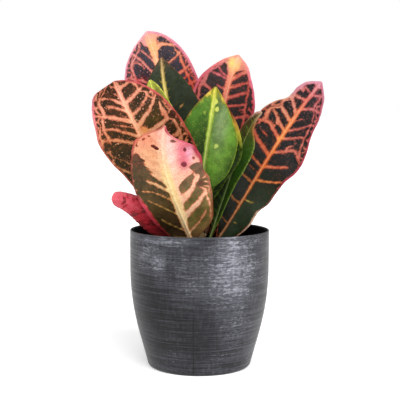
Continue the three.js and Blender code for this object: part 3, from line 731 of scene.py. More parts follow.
# %% The left leaf
add_look(
    "leaf_left", SALMON,
    veins=(
        [
            (0.8, 0, 40, 0.22, 0.28), (0.8, 0, 40, 0.32, 0.38), (0.8, 0, 40, 0.41, 0.46, 0.52),
            (1.2, 6, 26, 0.49, 0.545, 0.595, 0.655), (0.4, 18, 26, 0.54, 0.565, 0.6, 0.64),
            (1.6, 0, 31, 0.652, 0.685, 0.723, 0.751), (1.1, 0, 31, 0.69, 0.738, 0.785, 0.806),
            (0.3, 3, 18, 0.745, 0.778, 0.812, 0.83), (1.8, 0, 31, 0.777, 0.817, 0.852, 0.88),
            (1.1, 0, 17, 0.833, 0.877, 0.91, 0.93), (1.3, 0, 21, 0.862, 0.925, 0.95, 0.96),
            (0.3, 0, 7, 0.915, 0.96, 0.98), (0.3, 0, 7, 0.965, 1.0, 1.02),
        ],
        [
            (1.2, 0, 40, 0.24, 0.25, 0.27), (1.2, 0, 40, 0.34, 0.35, 0.37),
            (1.3, 0, 40, 0.43, 0.445, 0.46, 0.48), (1.4, 0, 40, 0.52, 0.53, 0.545),
            (1.5, 0, 40, 0.6, 0.61), (2.0, 0, 33, 0.694, 0.7, 0.705, 0.714),
            (1.7, 0, 33, 0.748, 0.77, 0.795, 0.838), (1.0, 0, 25, 0.808, 0.822, 0.848, 0.885),
            (1.8, 0, 22, 0.875, 0.89, 0.906, 0.925), (1.1, 0, 14, 0.955, 0.962, 0.972, 0.985),
        ],
    ),
    arch=(
        [
            (0.6, 34, -3), (0.7, 31, -2), (0.75, 29.5, 0.6), (0.76, 29, 0.9), (0.81, 29.5, 0.9),
            (0.86, 26, 0.8), (0.88, 23, 1.2), (0.945, 22, 1.2), (0.97, 14, 0.6), (1, 8, 0),
        ],
        [
            (0.6, 36, 0.8), (0.64, 38, 0.9), (0.7, 38, 1.0), (0.72, 33, 1.2), (0.775, 32.5, 1.2),
            (0.82, 32, 0.5), (0.86, 25, 0.9), (0.885, 25, 0.9), (0.9, 19, 1.2), (0.94, 18, 1.0), (1, 8, 1),
        ],
    ),
    rib={0: 1.7, 0.6: 1.9, 0.75: 2.0, 0.93: 1.9, 1: 1.3},
    edge=(
        {0.3: 0.8, 0.6: 0.9, 0.76: 1.3, 0.83: 2.0, 0.92: 2.4, 0.97: 1.4},
        {0.3: 0.9, 0.6: 1.2, 0.75: 1.6, 0.9: 1.8, 1: 1.5},
    ),
    dark=(
        {0.2: "302c1a", 0.6: "3e301a", 0.75: "4a351c", 0.9: "503424", 1: "44281c"},
        {0.2: "2e2c1a", 0.6: "3a2816", 0.76: "4c3a1e", 0.85: "523c28", 1: "40291c"},
    ),
    glow={0: "b89468", 0.6: "d8a07a", 0.75: "e6ab84", 0.82: "f3b691", 0.92: "f0ab94", 1: "c07e60"},
    vein=(
        {0.3: "9a7448", 0.6: "b08458", 0.75: "c8845c", 0.85: "dc987c", 1: "c08468"},
        {0.3: "9a5c3c", 0.6: "c0805a", 0.75: "d69c78", 0.88: "dc9c80", 1: "c88468"},
    ),
    rim=(
        {0.3: "a06a50", 0.7: "b8705c", 0.82: "d07c74", 0.9: "dc8890", 1: "a84c4c"},
        {0.3: "7a2a24", 0.55: "983a34", 0.68: "b04e44", 0.85: "c05c58", 1: "b85058"},
    ),
    blots=[
        (0.717, 6, 4, 5, 4.0), (0.745, 30, 4, 5, 1.6), (0.722, 38, 3, 4, -2.5), (0.82, 34, 3, 3, -2.0),
        (0.61, 34, 3, 3, 2.5), (0.97, 3, 3, 4, 2.0), (0.945, -12, 5, 5, -1.5), (0.76, -37, 4, 1.5, 1.5),
    ],
    tints=[
        ("light", 0.72, 6, 5, 6, "d88840", 0.8), ("dark", 0.75, 18, 6, 10, "5c4a14", 0.6),
        ("dark", 0.72, 38, 4, 5, "4a1812", 0.8), ("light", 0.74, 31, 6, 5, "c8684c", 0.6),
    ],
    network=0.95, spots=0.5, depth=0.54,
)

# %% The front leaf
add_look(
    "leaf_front", SALMON,
    veins=(
        [
            (0.0, 0, 30, 0.1, 0.15), (0.35, 0, 20, 0.165, 0.235, 0.315, 0.39),
            (0.4, 0, 24, 0.29, 0.366, 0.433, 0.49), (0.5, 0, 27, 0.395, 0.466, 0.516, 0.535),
            (1.6, 0, 19, 0.472, 0.537, 0.59, 0.63), (0.7, 0, 13, 0.55, 0.603, 0.66, 0.7),
            (1.5, 0, 12, 0.6, 0.655, 0.71, 0.75), (1.5, 0, 20, 0.68, 0.73, 0.78, 0.82),
            (1.5, 0, 20, 0.76, 0.81, 0.86, 0.9), (1.5, 0, 20, 0.84, 0.89, 0.94, 0.98),
        ],
        [
            (1.0, 0, 24, 0.15, 0.188, 0.233, 0.285), (3.0, 0, 31, 0.265, 0.302, 0.337, 0.385),
            (4.4, 0, 29, 0.375, 0.412, 0.457, 0.53), (3.4, 0, 30, 0.47, 0.53, 0.57, 0.58),
            (3.0, 0, 30, 0.56, 0.61, 0.64, 0.65), (3.0, 0, 30, 0.66, 0.7, 0.73, 0.75),
            (3.0, 0, 30, 0.76, 0.8, 0.83, 0.85), (2.0, 0, 20, 0.86, 0.9, 0.93, 0.95),
        ],
    ),
    arch=(
        [(0.1, 30, -2), (1, 30, -2)],
        [
            (0.1, 22, -1), (0.2, 26, 0.5), (0.3, 30, 0.7), (0.4, 31, 0.8), (0.45, 27, 1.0),
            (0.55, 27, 1.4), (0.65, 27, 1.0), (1, 24, 1),
        ],
    ),
    rib=(
        {0: 1.8, 0.15: 2.6, 0.25: 3.2, 0.35: 2.8, 0.6: 2.0, 0.9: 2.4, 1: 2},
        {0: 1.8, 0.13: 0.6, 0.2: 1.4, 0.26: 3.8, 0.35: 5.5, 0.45: 8.0, 0.6: 8.0, 1: 6},
    ),
    edge=(
        {0.15: 1.0, 0.25: 2.8, 0.42: 4.0, 0.5: 2.0, 0.55: 0.6, 0.75: 0.8, 0.88: 2.2, 1: 0.8},
        {0.1: 0.8, 0.3: 1.2, 0.6: 1.4, 0.7: 2.8, 0.9: 3.2, 1: 1.2},
    ),
    flush=((0.5, 0.0095), (0.46, 0.0045)),
    dark=(
        {0.1: "3a2a1c", 0.25: "4a3620", 0.4: "564424", 0.6: "605234", 0.75: "6a4c38", 1: "8a5a48"},
        {0.1: "7a5c38", 0.2: "82703e", 0.28: "867440", 0.38: "867448", 0.5: "8c7450", 0.65: "946a58"},
    ),
    glow={
        0: "e4cc9c", 0.2: "f0d4a4", 0.4: "e2c88c", 0.6: "ecd094", 0.72: "eec49a",
        0.85: "f2c0a8", 1: "ecb2a8",
    },
    vein=(
        {0.1: "9a9a58", 0.4: "aa9c5c", 0.5: "c4a070", 0.6: "dcae84", 0.85: "e6a684", 1: "ecb0a0"},
        {0.1: "a88458", 0.3: "e2b494", 0.5: "ecbc9e", 0.65: "f4c4a8", 0.8: "f6c2b2", 1: "f0b4b0"},
    ),
    rim=(
        {
            0.15: "5a2c28", 0.25: "b83c48", 0.45: "c44254", 0.52: "8a4840", 0.7: "8a4c44",
            0.85: "c0584c", 1: "c07868",
        },
        {0.1: "94683f", 0.3: "80502f", 0.5: "a87058", 0.62: "983438", 0.85: "b42c48", 1: "b04450"},
    ),
    blots=[
        (0.647, 19, 3.6, 3.6, -18.0), (0.61, 28, 5.4, 3.6, -12.0), (0.465, 28, 4, 4, -4.0),
        (0.69, 29, 3.6, 2.6, -11.0), (0.75, 27, 5, 1.6, -9.0), (0.72, 20, 3, 1.8, -9.5),
        (0.59, 33, 6, 2.5, -11.0), (0.78, 22, 4, 2.0, -10.0), (0.88, 10, 4, 3, -10.0),
        (0.82, 26, 4, 1.6, -10.0), (0.485, 15, 7, 7, -3.5), (0.8, -4.5, 2.6, 4.6, -11.5),
        (0.822, -8.5, 2.2, 3.6, -10.5), (0.86, -18, 3, 3, -10.5), (0.89, -12, 2, 4, -9.5),
        (0.87, 11, 2, 5, -4.0), (0.83, -24, 4, 1.6, -9.5), (0.75, -24, 4, 3, -4.0),
        (0.72, -21, 3, 4, -4.0), (0.79, 22, 3, 1.5, -4.0),
    ],
    tints=[
        ("light", 0.8, 22, 22, 10, "dc7890", 0.75), ("light", 0.75, 19, 22, 6.5, "d85c78", 0.6),
        ("light", 0.66, 19, 8, 6, "c85470", 0.7), ("light", 0.76, 26, 12, 3.5, "dca4bc", 0.8),
        ("light", 0.87, 26, 9, 6, "c04c5c", 0.8), ("light", 0.9, 12, 7, 5, "c86068", 0.7),
        # The pale pink tint f8ccc4 beside the midrib on the next line is a painted highlight.
        ("light", 0.78, 32, 16, 2.5, "98283c", 0.9), ("light", 0.78, 8, 20, 5, "f8ccc4", 0.7),
        ("dark", 0.78, 22, 22, 13, "9a2c48", 0.85), ("dark", 0.86, -16, 14, 13, "8e4030", 0.8),
        ("dark", 0.647, 20, 6, 6, "8a3044", 1.0), ("dark", 0.81, -6, 7, 8, "4c1412", 1.0),
        ("dark", 0.87, -17, 8, 9, "8a3c2c", 1.0), ("light", 0.86, -14, 8, 10, "e08c70", 0.7),
        ("light", 0.74, -12, 12, 9, "e0a478", 0.6), ("dark", 0.24, 15, 8, 8, "62602a", 0.8),
        ("dark", 0.36, 14, 7, 8, "66602c", 0.7), ("dark", 0.46, 29, 4, 4, "7c4438", 0.9),
        ("dark", 0.61, 28, 6, 5, "7c6c50", 0.8),
    ],
    network=0.12, spots=({0.4: 0.1, 0.7: 0.9}, {0.2: 0.7, 0.6: 1.0}),
)

# %% The drooping leaf
add_look(
    "leaf_drooping", SALMON,
    feet=14, rise=((0.8, 0.8), (0.8, 0.8)), seed=3,
    lateral={0: 3.0, 1: 3.8},
    dark={0: "542022", 0.5: "7c2a2c", 1: "963a42"},
    glow={0: "5c2420", 0.38: "802828", 0.5: "ae3440", 0.65: "b03a44", 0.78: "c4505c", 1: "cc5c68"},
    vein={0: "5c2420", 0.38: "7c2628", 0.5: "ac2c38", 0.65: "a82c36", 0.8: "c04856", 1: "c85a66"},
    rim={0: "5a2020", 0.5: "8a2c30", 0.75: "b84c54", 1: "c8606a"},
    rib=-1,
    blots=[
        (0.84, -3, 4, 5, -3.8), (0.7, -8, 4, 5, -3.8), (0.86, 4, 3, 4, -3.0), (0.58, -12, 5, 4, -3.5),
        (0.64, 2, 3, 4, -3.5), (0.76, 6, 3, 3, -3.0), (0.5, -3, 5, 5, -3.5), (0.48, 9, 5, 4, -3.5),
    ],
    network=0.0, spots=1.0, tone=1.0, depth=0.95, swell=0.5,
)

# %% The plain dark leaf in the middle
add_look(
    "leaf_mid", GREEN,
    rib={0: 1.8, 0.5: 1.7, 0.8: 1.5, 1: 1.0},
    lateral={0: -0.2, 1: -0.1},
    edge={0: 0.2, 1: 0.3},
    dark={0: "1c2414", 0.6: "262c20", 0.9: "30352a", 1: "4a3c30"},
    glow={0: "8a8a48", 0.6: "bcae5c", 0.8: "cfba6a", 0.92: "b89a68", 1: "907460"},
    vein={0: "2c381c", 1: "3c4630"},
    rim={0: "3a4020", 0.8: "44442c", 1: "7a5440"},
    blots=[(0.69, 13, 1.2, 2.2, 3.5), (0.74, 8, 1, 1.5, 3.0)],
    tints=[("light", 0.69, 13, 3, 4, "9a7048", 1.0), ("light", 0.74, 8, 3, 3, "4a6a3c", 1.0)],
    spots=0.15, swell=0.15, tone=0.95, depth=0.95,
)

# %% The young leaves, and the green ones beside them
add_look(
    "leaf_young_rear", GREEN,
    dark={0: "1c2a10", 0.5: "24351a", 0.75: "2c4410", 1: "3a3a18"},
    edge=({0: 0.5, 1: 0.6}, {0: 0.5, 0.7: 0.8, 0.78: 4.5, 0.92: 4.5, 1: 2}),
    rim=(
        {0: "4a5a24", 1: "7a7a30"},
        {0: "3a4a18", 0.7: "4c5c1c", 0.8: "a4a036", 0.88: "b88838", 0.95: "7a4424"},
    ),
    spots=0.3,
)
add_look(
    "leaf_folded", GREEN,
    lateral={0: 0.0, 1: 0.2},
    rib={0: 1.2, 0.6: 0.6, 1: 0.4},
    edge=({0: 0.3, 0.8: 0.5, 0.9: 2.0, 1: 3}, {0: 0.7, 0.6: 0.9, 0.72: 1.4, 0.8: 2.0, 1: 1}),
    dark=(
        # The left half's near-black panels are painted shade.
        {0: "18220e", 0.5: "16200b", 0.7: "3a3812", 0.85: "3a2c18", 1: "6a5040"},
        {
            0: "182810", 0.2: "1c2c10", 0.4: "24420e", 0.5: "2e5414", 0.6: "365c1a", 0.7: "486022",
            0.8: "746c36", 0.9: "78623c",
        },
    ),
    glow={0: "3a4a1c", 0.6: "3c5c1c", 0.8: "6c6c34", 1: "8a7050"},
    vein={0: "20380f", 1: "4a6a28"},
    rim=(
        {0: "2a3a14", 0.85: "6a4a38", 1: "b88a80"},
        {0: "4a6424", 0.45: "6a8438", 0.68: "7a8a44", 0.76: "9a5c34", 0.84: "8c6a40", 1: "b09080"},
    ),
    spots=0.1,
)
add_look(
    "leaf_lime", GREEN,
    dark={0: "4a5a20", 0.6: "7a7e34", 0.88: "9a9446", 1: "c2c45c"},
    glow={0: "8a9a48", 1: "d0d060"},
    vein={0: "6a7a2c", 1: "b4b454"},
    rim={0: "7a7a34", 1: "c8c85c"},
    spots=0.2, tone=0.95, depth=0.75,
)
add_look(
    "leaf_young", GREEN,
    rib={0: 1.7, 0.5: 1.7, 0.8: 1.9, 1: 1.6},
    lateral=-2,
    edge=({0: 0.4, 1: 0.5}, {0: 0.4, 0.6: 0.7, 1: 0.8}),
    dark=(
        # The left half's panels, darker than the right's, are painted shade.
        {0: "24340f", 0.5: "2c3c10", 0.62: "3c5818", 0.75: "4c7c24", 0.9: "5c8430", 1: "a89838"},
        {
            0: "34501a", 0.3: "5c8430", 0.42: "6c9c34", 0.6: "74a834", 0.75: "6c9c34", 0.88: "648c34",
            1: "a89838",
        },
    ),
    glow={0: "7c8c40", 0.5: "98ac54", 0.65: "a8ba54", 0.8: "bccc56", 1: "d4c84a"},
    vein={0: "3c5220", 0.6: "5c7c30", 1: "8a983c"},
    rim=({0: "4a5a20", 1: "8a6a30"}, {0: "4a6a24", 0.6: "7c8c34", 0.8: "98982f", 1: "a88c34"}),
    blots=[
        (0.9, 3, 1.4, 1.2, 9.0), (0.85, 5, 1.7, 1.4, 9.0), (0.82, -7, 1.6, 1.4, 9.0),
        (0.59, 9, 2, 1.6, 9.0), (0.95, -6, 3, 2.5, 6.0), (0.93, 9, 4, 2, 6.0), (0.89, -12, 2, 2, 6.0),
        (0.79, -22, 2, 1.5, 6.0),
    ],
    tints=[
        # The pale grey-green tint right of the midrib, the first on the next line, is a painted sheen.
        ("dark", 0.74, 10, 22, 8, "98ac7c", 0.75), ("dark", 0.42, 27, 20, 7, "1c300c", 0.9),
        ("dark", 0.6, -3, 14, 5, "20300c", 0.8), ("light", 0.6, 9, 6, 4, "ccd878", 0.9),
        ("light", 0.86, 4, 8, 4, "d4d870", 0.9), ("light", 0.95, -6, 5, 4, "d8b850", 0.9),
        ("light", 0.93, 9, 6, 3, "d0a848", 0.9),
    ],
    network=0.12, spots=0.22, swell=0.7, tone=0.75, depth=0.6,
)

# %% The leaves at the rear
add_look("leaf_low_rear_right", SALMON, flush=((0.7, 0.012), (0.6, 0.012)), arch=NARROW_ARCH, seed=11)
add_look("leaf_low_rear_left", EMBER, flush=((0.75, 0.012), (0.8, 0.012)), arch=NARROW_ARCH, seed=17)
add_look(
    "leaf_rear_left", EMBER,
    arch=WIDE_ARCH, blots=[(0.8, 4, 9, 9, 2.0), (0.5, -14, 8, 6, -1.5)], seed=23,
)
add_look(
    "leaf_rear_right", EMBER,
    arch=WIDE_ARCH, blots=[(0.9, -2, 9, 9, 5.0), (0.6, 12, 8, 6, 2.0)], seed=5,
)
add_look(
    "leaf_rear_centre", SALMON,
    arch=WIDE_ARCH, blots=[(0.88, 6, 9, 8, 2.5), (0.66, -12, 8, 6, -1.5)], seed=31,
)
print("looks:", len(LOOKS))

# %% [markdown]
# ## From rows to numbers on the blade
#
# The colours could be painted, or drawn leaf by leaf with curves. A croton's pattern follows its veins, so it
# is enough to know, anywhere on the blade, which side vein is near and how wide it glows. A smooth curve
# follows each side vein from the midrib out, and a place on the blade lies somewhere between two of them.
# Each vertex then carries these numbers as attributes, and the shader only has to draw lines and spots.

# %% Reading the values
def values_at(values, t):
    """What a dictionary of values by share gives at t. A plain number is the same everywhere."""
    if not isinstance(values, dict):
        return values + 0 * t
    return np.interp(t, list(values), list(values.values()))


def colours_at(stops, t):
    """The same for a dictionary of colours."""
    table = np.array([linear(colour) for colour in stops.values()])
    return np.stack([np.interp(t, list(stops), table[:, k]) for k in range(3)], -1)


def for_side(values, right):
    """What holds on the side asked, where a tuple has the left half's values and then the right's."""
    return values[right] if isinstance(values, tuple) else values


print("white is", colours_at({0: "ffffff"}, np.array(0.5)))

# %% Veins across a blade
MARKS = (0, 10, 20, 30)  # mm from the midrib at which a vein's shares are given
FIRST_FOOT, LAST_FOOT = 0.2, 0.93  # where drawn veins leave the midrib
FOOT_CHANCE = 0.3  # of the gap between two feet, either way
SLOPE_CHANCE = 0.1
HALF_WIDTH_CHANCE = (-0.4, 0.5)
DRAWN_END = (14, 40)  # mm from the midrib


def straight_on(shares):
    """The shares that a vein passes at all marks, where the last ones may be left out."""
    while len(shares) < len(MARKS):
        shares = [*shares, 2 * shares[-1] - shares[-2]]
    return shares


def vein_table(look, right, length):
    """Each side vein of one half as half-width, start, end and the shares that it passes at the marks."""
    if "veins" in look:
        return np.array([[*row[:3], *straight_on(row[3:])] for row in look["veins"][right]])
    chance = np.random.default_rng(look.get("seed", 0) + right)
    (base, tip), count = look["rise"][right], look["feet"]
    shifts = chance.uniform(-FOOT_CHANCE, FOOT_CHANCE, count) * (LAST_FOOT - FIRST_FOOT) / count
    rows = []
    for foot in np.linspace(FIRST_FOOT, LAST_FOOT, count) + shifts:
        slope = base + (tip - base) * foot + chance.uniform(-SLOPE_CHANCE, SLOPE_CHANCE)
        shares = [foot + (slope * x + look["bend"] * x**2) / length for x in MARKS]
        half = values_at(look["lateral"], foot) + chance.uniform(*HALF_WIDTH_CHANCE)
        rows.append([half, 0, chance.uniform(*DRAWN_END), *shares])
    return np.array(rows)


right_leaf, right_look = Leaf("leaf_right"), LOOKS["leaf_right"]
counts = [len(vein_table(right_look, right, right_leaf.length)) for right in (0, 1)]
print("side veins of leaf_right, left and right:", counts)

# %% How far the side veins are
LEAST_GAP = 0.012  # share of the length between two side veins
LEAST_GLOW = 1.5  # mm that a vein's half-width falls below nothing past its end
VEIN_TRIM = 0.35  # mm that soft edges add to a vein's half-width


def vein_fields(look, t, x, length, right):
    """Phase, spacing in mm and half-width of the side veins. The phase is whole on each vein."""
    table = vein_table(look, right, length)

    def passed(at):
        """The shares that the veins pass there. They never cross, and go straight on past the last mark."""
        shares, far = [], 2 * MARKS[-1]
        for row in table[:, 3:]:
            ends = [*zip(MARKS, row), (far, 4 * row[3] - 3 * row[2])]
            shares.append(through(ends, 1, np.clip(at, 0, far)) + LEAST_GAP * len(shares))
        shares = np.maximum.accumulate(np.array(shares), 0)
        return shares - LEAST_GAP * np.arange(len(shares))[:, None, None]

    shares = passed(x)
    shares = np.concatenate([2 * shares[:1] - shares[1:2], shares, 2 * shares[-1:] - shares[-2:-1]])
    last = len(shares) - 2
    lower = np.clip((t >= shares).sum(0) - 1, 0, last)
    low, high = (np.take_along_axis(shares, (lower + i)[None], 0)[0] for i in (0, 1))
    gap = np.maximum(high - low, LEAST_GAP / 2)
    phase = lower + (t - low) / gap
    slopes = (passed(x + 1) - passed(x - 1)) * length / 2
    own = np.clip(np.round(phase).astype(int) - 1, 0, len(table) - 1)
    slope = np.take_along_axis(slopes, own[None], 0)[0]
    half, start, end = (table[:, i][own] for i in range(3))
    faded = (1 - ramp(x, end - 1, end + 4)) * np.where(start > 0, ramp(x, start - 3, start + 1), 1)
    half = (half * (1.1 - 0.012 * x) + LEAST_GLOW) * faded - LEAST_GLOW - VEIN_TRIM
    return phase, gap * length / np.sqrt(1 + slope**2), half


half_way, on_midrib = np.array([[0.5]]), np.array([[0.0]])
_, gap, _ = vein_fields(right_look, half_way, on_midrib, right_leaf.length, 0)
print("leaf_right's side veins at mid-length are", round(float(gap[0, 0]), 1), "mm apart")

# %% Colours over a blade
NO_ARCH = [(0, 90, -2), (1, 90, -2)]
FLUSH_MM = 9  # how far the glow spreads from each vein where it floods the blade
GLOW_REACH = 4  # mm over which the midrib's colour turns into the side veins'
WIDEST_GLOW = 3  # mm from the midrib that keep its colour
RIM_REACH = 2  # mm over which the margin's colour turns into the side veins'
LEAF_TONE, DARK_TONE = 0.8, 0.6  # colours are read off a screen, where light and gloss have lifted them


def near_place(t, signed, length, row):
    """1 at a row's place, and falling off over its reach."""
    place, across, along, wide = row
    return np.exp(-(((t - place) * length / along) ** 2) - ((signed - across) / wide) ** 2)


def colour_fields(leaf, look, t, x, width, right):
    """Everything that the shader reads, for places at share t and x mm from the midrib on one side."""
    length = leaf.length
    signed = x if right else -x
    margin = width - x
    phase, spacing, lateral = vein_fields(look, t, x, length, right)
    rib, edge = (values_at(for_side(look[key], right), t) for key in ("rib", "edge"))
    arch = for_side(look.get("arch", NO_ARCH), right)
    beyond = x - through(arch, 1, np.clip(t, arch[0][0], arch[-1][0]))
    arch_half = values_at({share: half for share, _, half in arch}, t)
    network, spots = (values_at(for_side(look[key], right), t) for key in ("network", "spots"))
    push = np.zeros_like(t)
    if "flush" in look:
        start, later = look["flush"][right]
        push = FLUSH_MM * ramp(t - start - later * x, -0.03, 0.11)
    for *row, extra in look.get("blots", []):
        push = push + extra * near_place(t, signed, length, row)
    dark = colours_at(for_side(look["dark"], right), t)
    light = colours_at(for_side(look["vein"], right), t)
    near_rib = 1 - ramp(x - np.minimum(rib, WIDEST_GLOW), 0, GLOW_REACH)[..., None]
    light += near_rib * (colours_at(for_side(look["glow"], right), t) - light)
    near_edge = 1 - ramp(margin - edge, 0, RIM_REACH)[..., None]
    light += near_edge * (colours_at(for_side(look["rim"], right), t) - light)
    for key, *row, colour, share in look.get("tints", []):
        field = dark if key == "dark" else light
        near = share * near_place(t, signed, length, row)[..., None]
        field += near * (np.array(linear(colour)[:3]) - field)
    cells = look["cells"] * ramp(beyond, 0.5, 3)
    return {
        "place": np.stack([t, signed, margin], -1),
        "widths": np.stack([lateral, rib, edge], -1),
        "marks": np.stack([network, spots, push], -1),
        "outer": np.stack([beyond, arch_half, cells], -1),
        "light": light * look.get("tone", LEAF_TONE),
        "dark": dark * look.get("depth", DARK_TONE),
        "veins": np.stack([phase, spacing], -1),
        "blade": np.stack([signed, t * length], -1) / 10,
    }


print("colour fields ready")

# %% [markdown]
# ## Leaf meshes
#
# A leaf could be a plane with a Solidify modifier, but its midrib is as thick as a matchstick and its margin
# as thin as card. So each leaf is lofted: ring after ring from the petiole to the tip, the front face from
# left to right and the back face from right to left. Between the side veins the blade swells a little, which
# is what breaks up its gloss.

# %% Rings of a leaf
FINE_MESH, PLAIN_MESH = (180, 26), (104, 16)  # rings, and columns between the midrib and the margin
TOWARDS_TIP = 1.2  # power above 1 that draws the rings together towards the tip


def column_places(width, rib, columns):
    """How far the columns of one half lie from the midrib, from the midrib out, in millimetres."""
    width = width[:, None]
    inner = np.minimum(1.3 * rib[:, None], 0.8 * width)
    outer = np.maximum(width - 0.6, inner + 0.6 * (width - inner))
    near_rib = inner * np.array([0, 0.28, 0.52, 0.76])
    blade = inner + (outer - inner) * np.linspace(0, 1, columns)
    edge = outer + (width - outer) * np.array([0.55, 1])
    return np.hstack([near_rib, blade, edge])


wide, rib_half = np.array([20.0]), np.array([PETIOLE_RADIUS])
print("columns on one face:", 2 * column_places(wide, rib_half, FINE_MESH[1]).shape[1] - 1)

# %% Faces of a leaf
HALF_THICKNESS = 0.3  # these are in millimetres
MARGIN_HALF_THICKNESS = 0.13
THIN_MARGIN = 3  # over which the blade thins to its margin
QUILTING = 0.42  # how far the blade swells between two side veins
QUILTING_FADES = 5  # from the midrib and from the margin
GROOVE = 0.45  # depth of the groove over the midrib, on the side without the rib
MARGIN_CRINKLE = 0.35
CRINKLE_REACH = 7  # in from the margin
CRINKLED_WIDTHS = (3, 14)  # half-widths over which the crinkle sets in
RIB_HEIGHT = 0.65  # of the midrib over the blade, as a share of its half-width
BEND_ROUNDS = 0.1  # share of the midrib over which the petiole's upper side goes flat


def faces_from_middle(x, rib, margin, on_petiole):
    """How far a leaf's ribbed and its smooth face stand off its middle surface, in millimetres."""
    plain = MARGIN_HALF_THICKNESS + (HALF_THICKNESS - MARGIN_HALF_THICKNESS) * ramp(margin, 0, THIN_MARGIN)
    round_rib = np.sqrt(np.maximum(0, rib**2 - x**2)) * (RIB_HEIGHT + (1 - RIB_HEIGHT) * on_petiole)
    shoulder = 0.5 * rib * np.exp(-((x / (1.1 * rib)) ** 2))
    ribbed = np.maximum(plain, np.maximum(round_rib, shoulder))
    hollow = plain - GROOVE * np.exp(-((x / (0.7 * rib)) ** 2))
    smooth = np.where(round_rib > 0, round_rib, -1) * on_petiole + hollow * (1 - on_petiole)
    return ribbed, np.maximum(np.maximum(hollow, smooth), -0.6 * ribbed)


def leaf_arrays(name):
    """Points of one leaf as (ring, column), with its fields for the left and right half."""
    leaf, look = Leaf(name), LOOKS[name]
    rings, columns = FINE_MESH if "veins" in look else PLAIN_MESH
    t = 1 - (1 - np.linspace(0, 1, rings)) ** TOWARDS_TIP
    rib = PETIOLE_RADIUS + (RIB_TIP_RADIUS - PETIOLE_RADIUS) * t
    on_petiole = 1 - ramp(t, leaf.blade, leaf.blade + BEND_ROUNDS)[:, None]
    halves = []
    for right in (0, 1):
        width = leaf.half_width(t, right)
        x = column_places(width, rib, columns)
        width = width[:, None]
        share, margin = np.repeat(t[:, None], x.shape[1], 1), width - x
        fields = colour_fields(leaf, look, share, x, width, right)
        side = x / width * (1 if right else -1)
        phase = 2 * np.pi * fields["veins"][..., 0]
        swell = -0.5 * np.cos(phase) * ramp(x - rib[:, None], 0, QUILTING_FADES)
        swell = swell * ramp(margin, 0, QUILTING_FADES)
        crinkle = np.sin(phase + 0.6 * np.pi) * (1 - ramp(margin, 0, CRINKLE_REACH))
        crinkle = crinkle * ramp(width, *CRINKLED_WIDTHS)
        lift = (QUILTING * look.get("swell", 1) * swell + MARGIN_CRINKLE * crinkle) * (1 - on_petiole)
        normal = leaf.normal(share, side)
        middle = leaf.surface(share, side) + normal * (-leaf.row["rib"] * lift)[..., None]
        ribbed, smooth = faces_from_middle(x, rib[:, None], margin, on_petiole)
        front, back = (ribbed, smooth) if leaf.row["rib"] == 1 else (smooth, ribbed)
        faces = [middle + normal * front[..., None], middle - normal * back[..., None]]
        halves.append((faces, fields))
    return leaf, halves


print("a blade is", 2 * HALF_THICKNESS, "mm thick, and", 2 * MARGIN_HALF_THICKNESS, "mm at its margin")


# %% Lofting
def around(halves, pick):
    """One ring of values round the leaf: the front from left to right, then the back from right to left."""
    (left_front, left_back), (right_front, right_back) = (pick(half) for half in halves)
    front = np.concatenate([left_front[:, :0:-1], right_front], 1)
    back = np.concatenate([left_back[:, :0:-1], right_back], 1)
    return np.concatenate([front, back[:, ::-1]], 1)


def loft_faces(rings, count):
    """Quads between rings, and a fan over each end. The two middles come after the rings' points."""
    ring, place = np.meshgrid(np.arange(rings - 1), np.arange(count), indexing="ij")
    after = (place + 1) % count
    a, b = ring * count + place, ring * count + after
    quads = np.stack([a, b, b + count, a + count], -1).reshape(-1, 4)
    j = np.arange(count)
    k, last = (j + 1) % count, (rings - 1) * count
    start = np.stack([0 * j + rings * count, k, j], -1)
    end = np.stack([0 * j + rings * count + 1, last + j, last + k], -1)
    return [*quads, *start, *end]


print("faces between two rings of eight points, with both ends:", len(loft_faces(2, 8)))


# %% Leaf objects
def read(items, attribute, kind=int, numbers=1):
    """One attribute of all items of a mesh, as one long array."""
    values = np.empty(numbers * len(items), kind)
    items.foreach_get(attribute, values)
    return values


def store(mesh, name, kind, values):
    attribute = mesh.attributes.new(name, kind, "POINT")
    attribute.data.foreach_set("color" if kind == "FLOAT_COLOR" else "vector", values.ravel())


def make_leaf(name):
    """A leaf's mesh, which carries the fields for its shader as attributes and two UV maps."""
    leaf, halves = leaf_arrays(name)
    points = about_z(around(halves, lambda half: half[0]), leaf.row["turn"]) * MM
    rings, count = points.shape[:2]
    points = np.concatenate([points.reshape(-1, 3), points[[0, -1]].mean(1)])
    made = mesh_object(name + "_blade", points, loft_faces(rings, count))

    def whole(field):
        values = around(halves, lambda half: (half[1][field], half[1][field]))
        return np.concatenate([values.reshape(-1, values.shape[-1]), values[[0, -1]].mean(1)])

    for field in ("place", "widths", "marks", "outer"):
        store(made.data, field, "FLOAT_VECTOR", whole(field))
    for field in ("light", "dark"):
        values = whole(field)
        store(made.data, field, "FLOAT_COLOR", np.hstack([values, np.ones((len(values), 1))]))
    back = np.zeros((rings, count))
    back[:, count // 2 :] = 1
    away = np.concatenate([back.ravel(), [0.5, 0.5]])
    made.data.attributes.new("away", "FLOAT", "POINT").data.foreach_set("value", away)

    # The two halves meet on the midrib with different numbers, so these two are kept for each corner.
    corners, sides = read(made.data.loops, "vertex_index"), read(made.data.polygons, "loop_total")
    face_of = np.repeat(np.arange(len(sides)), sides)
    inner = whole("place")[:, 1]
    on_right = (np.bincount(face_of, inner[corners]) > 0)[face_of]
    middle = count // 4
    on_rib = np.isin(corners % count, [middle, count - 1 - middle]) & (corners < rings * count)
    for field in ("veins", "blade"):
        values = whole(field)[corners]
        for right in (0, 1):
            own = on_rib & (on_right == bool(right))
            values[own] = halves[right][1][field][corners[own] // count, 0]
        layer = made.data.uv_layers.new(name=field)
        layer.data.foreach_set("uv", values.ravel())
    return made


def volume(mesh):
    """A closed mesh's volume in cubic metres, above 0 where its faces point outwards."""
    mesh.calc_loop_triangles()
    corners = read(mesh.loop_triangles, "vertices", int, 3).reshape(-1, 3)
    a, b, c = read(mesh.vertices, "co", float, 3).reshape(-1, 3)[corners].transpose(1, 0, 2)
    return float((a * np.cross(b, c)).sum() / 6)


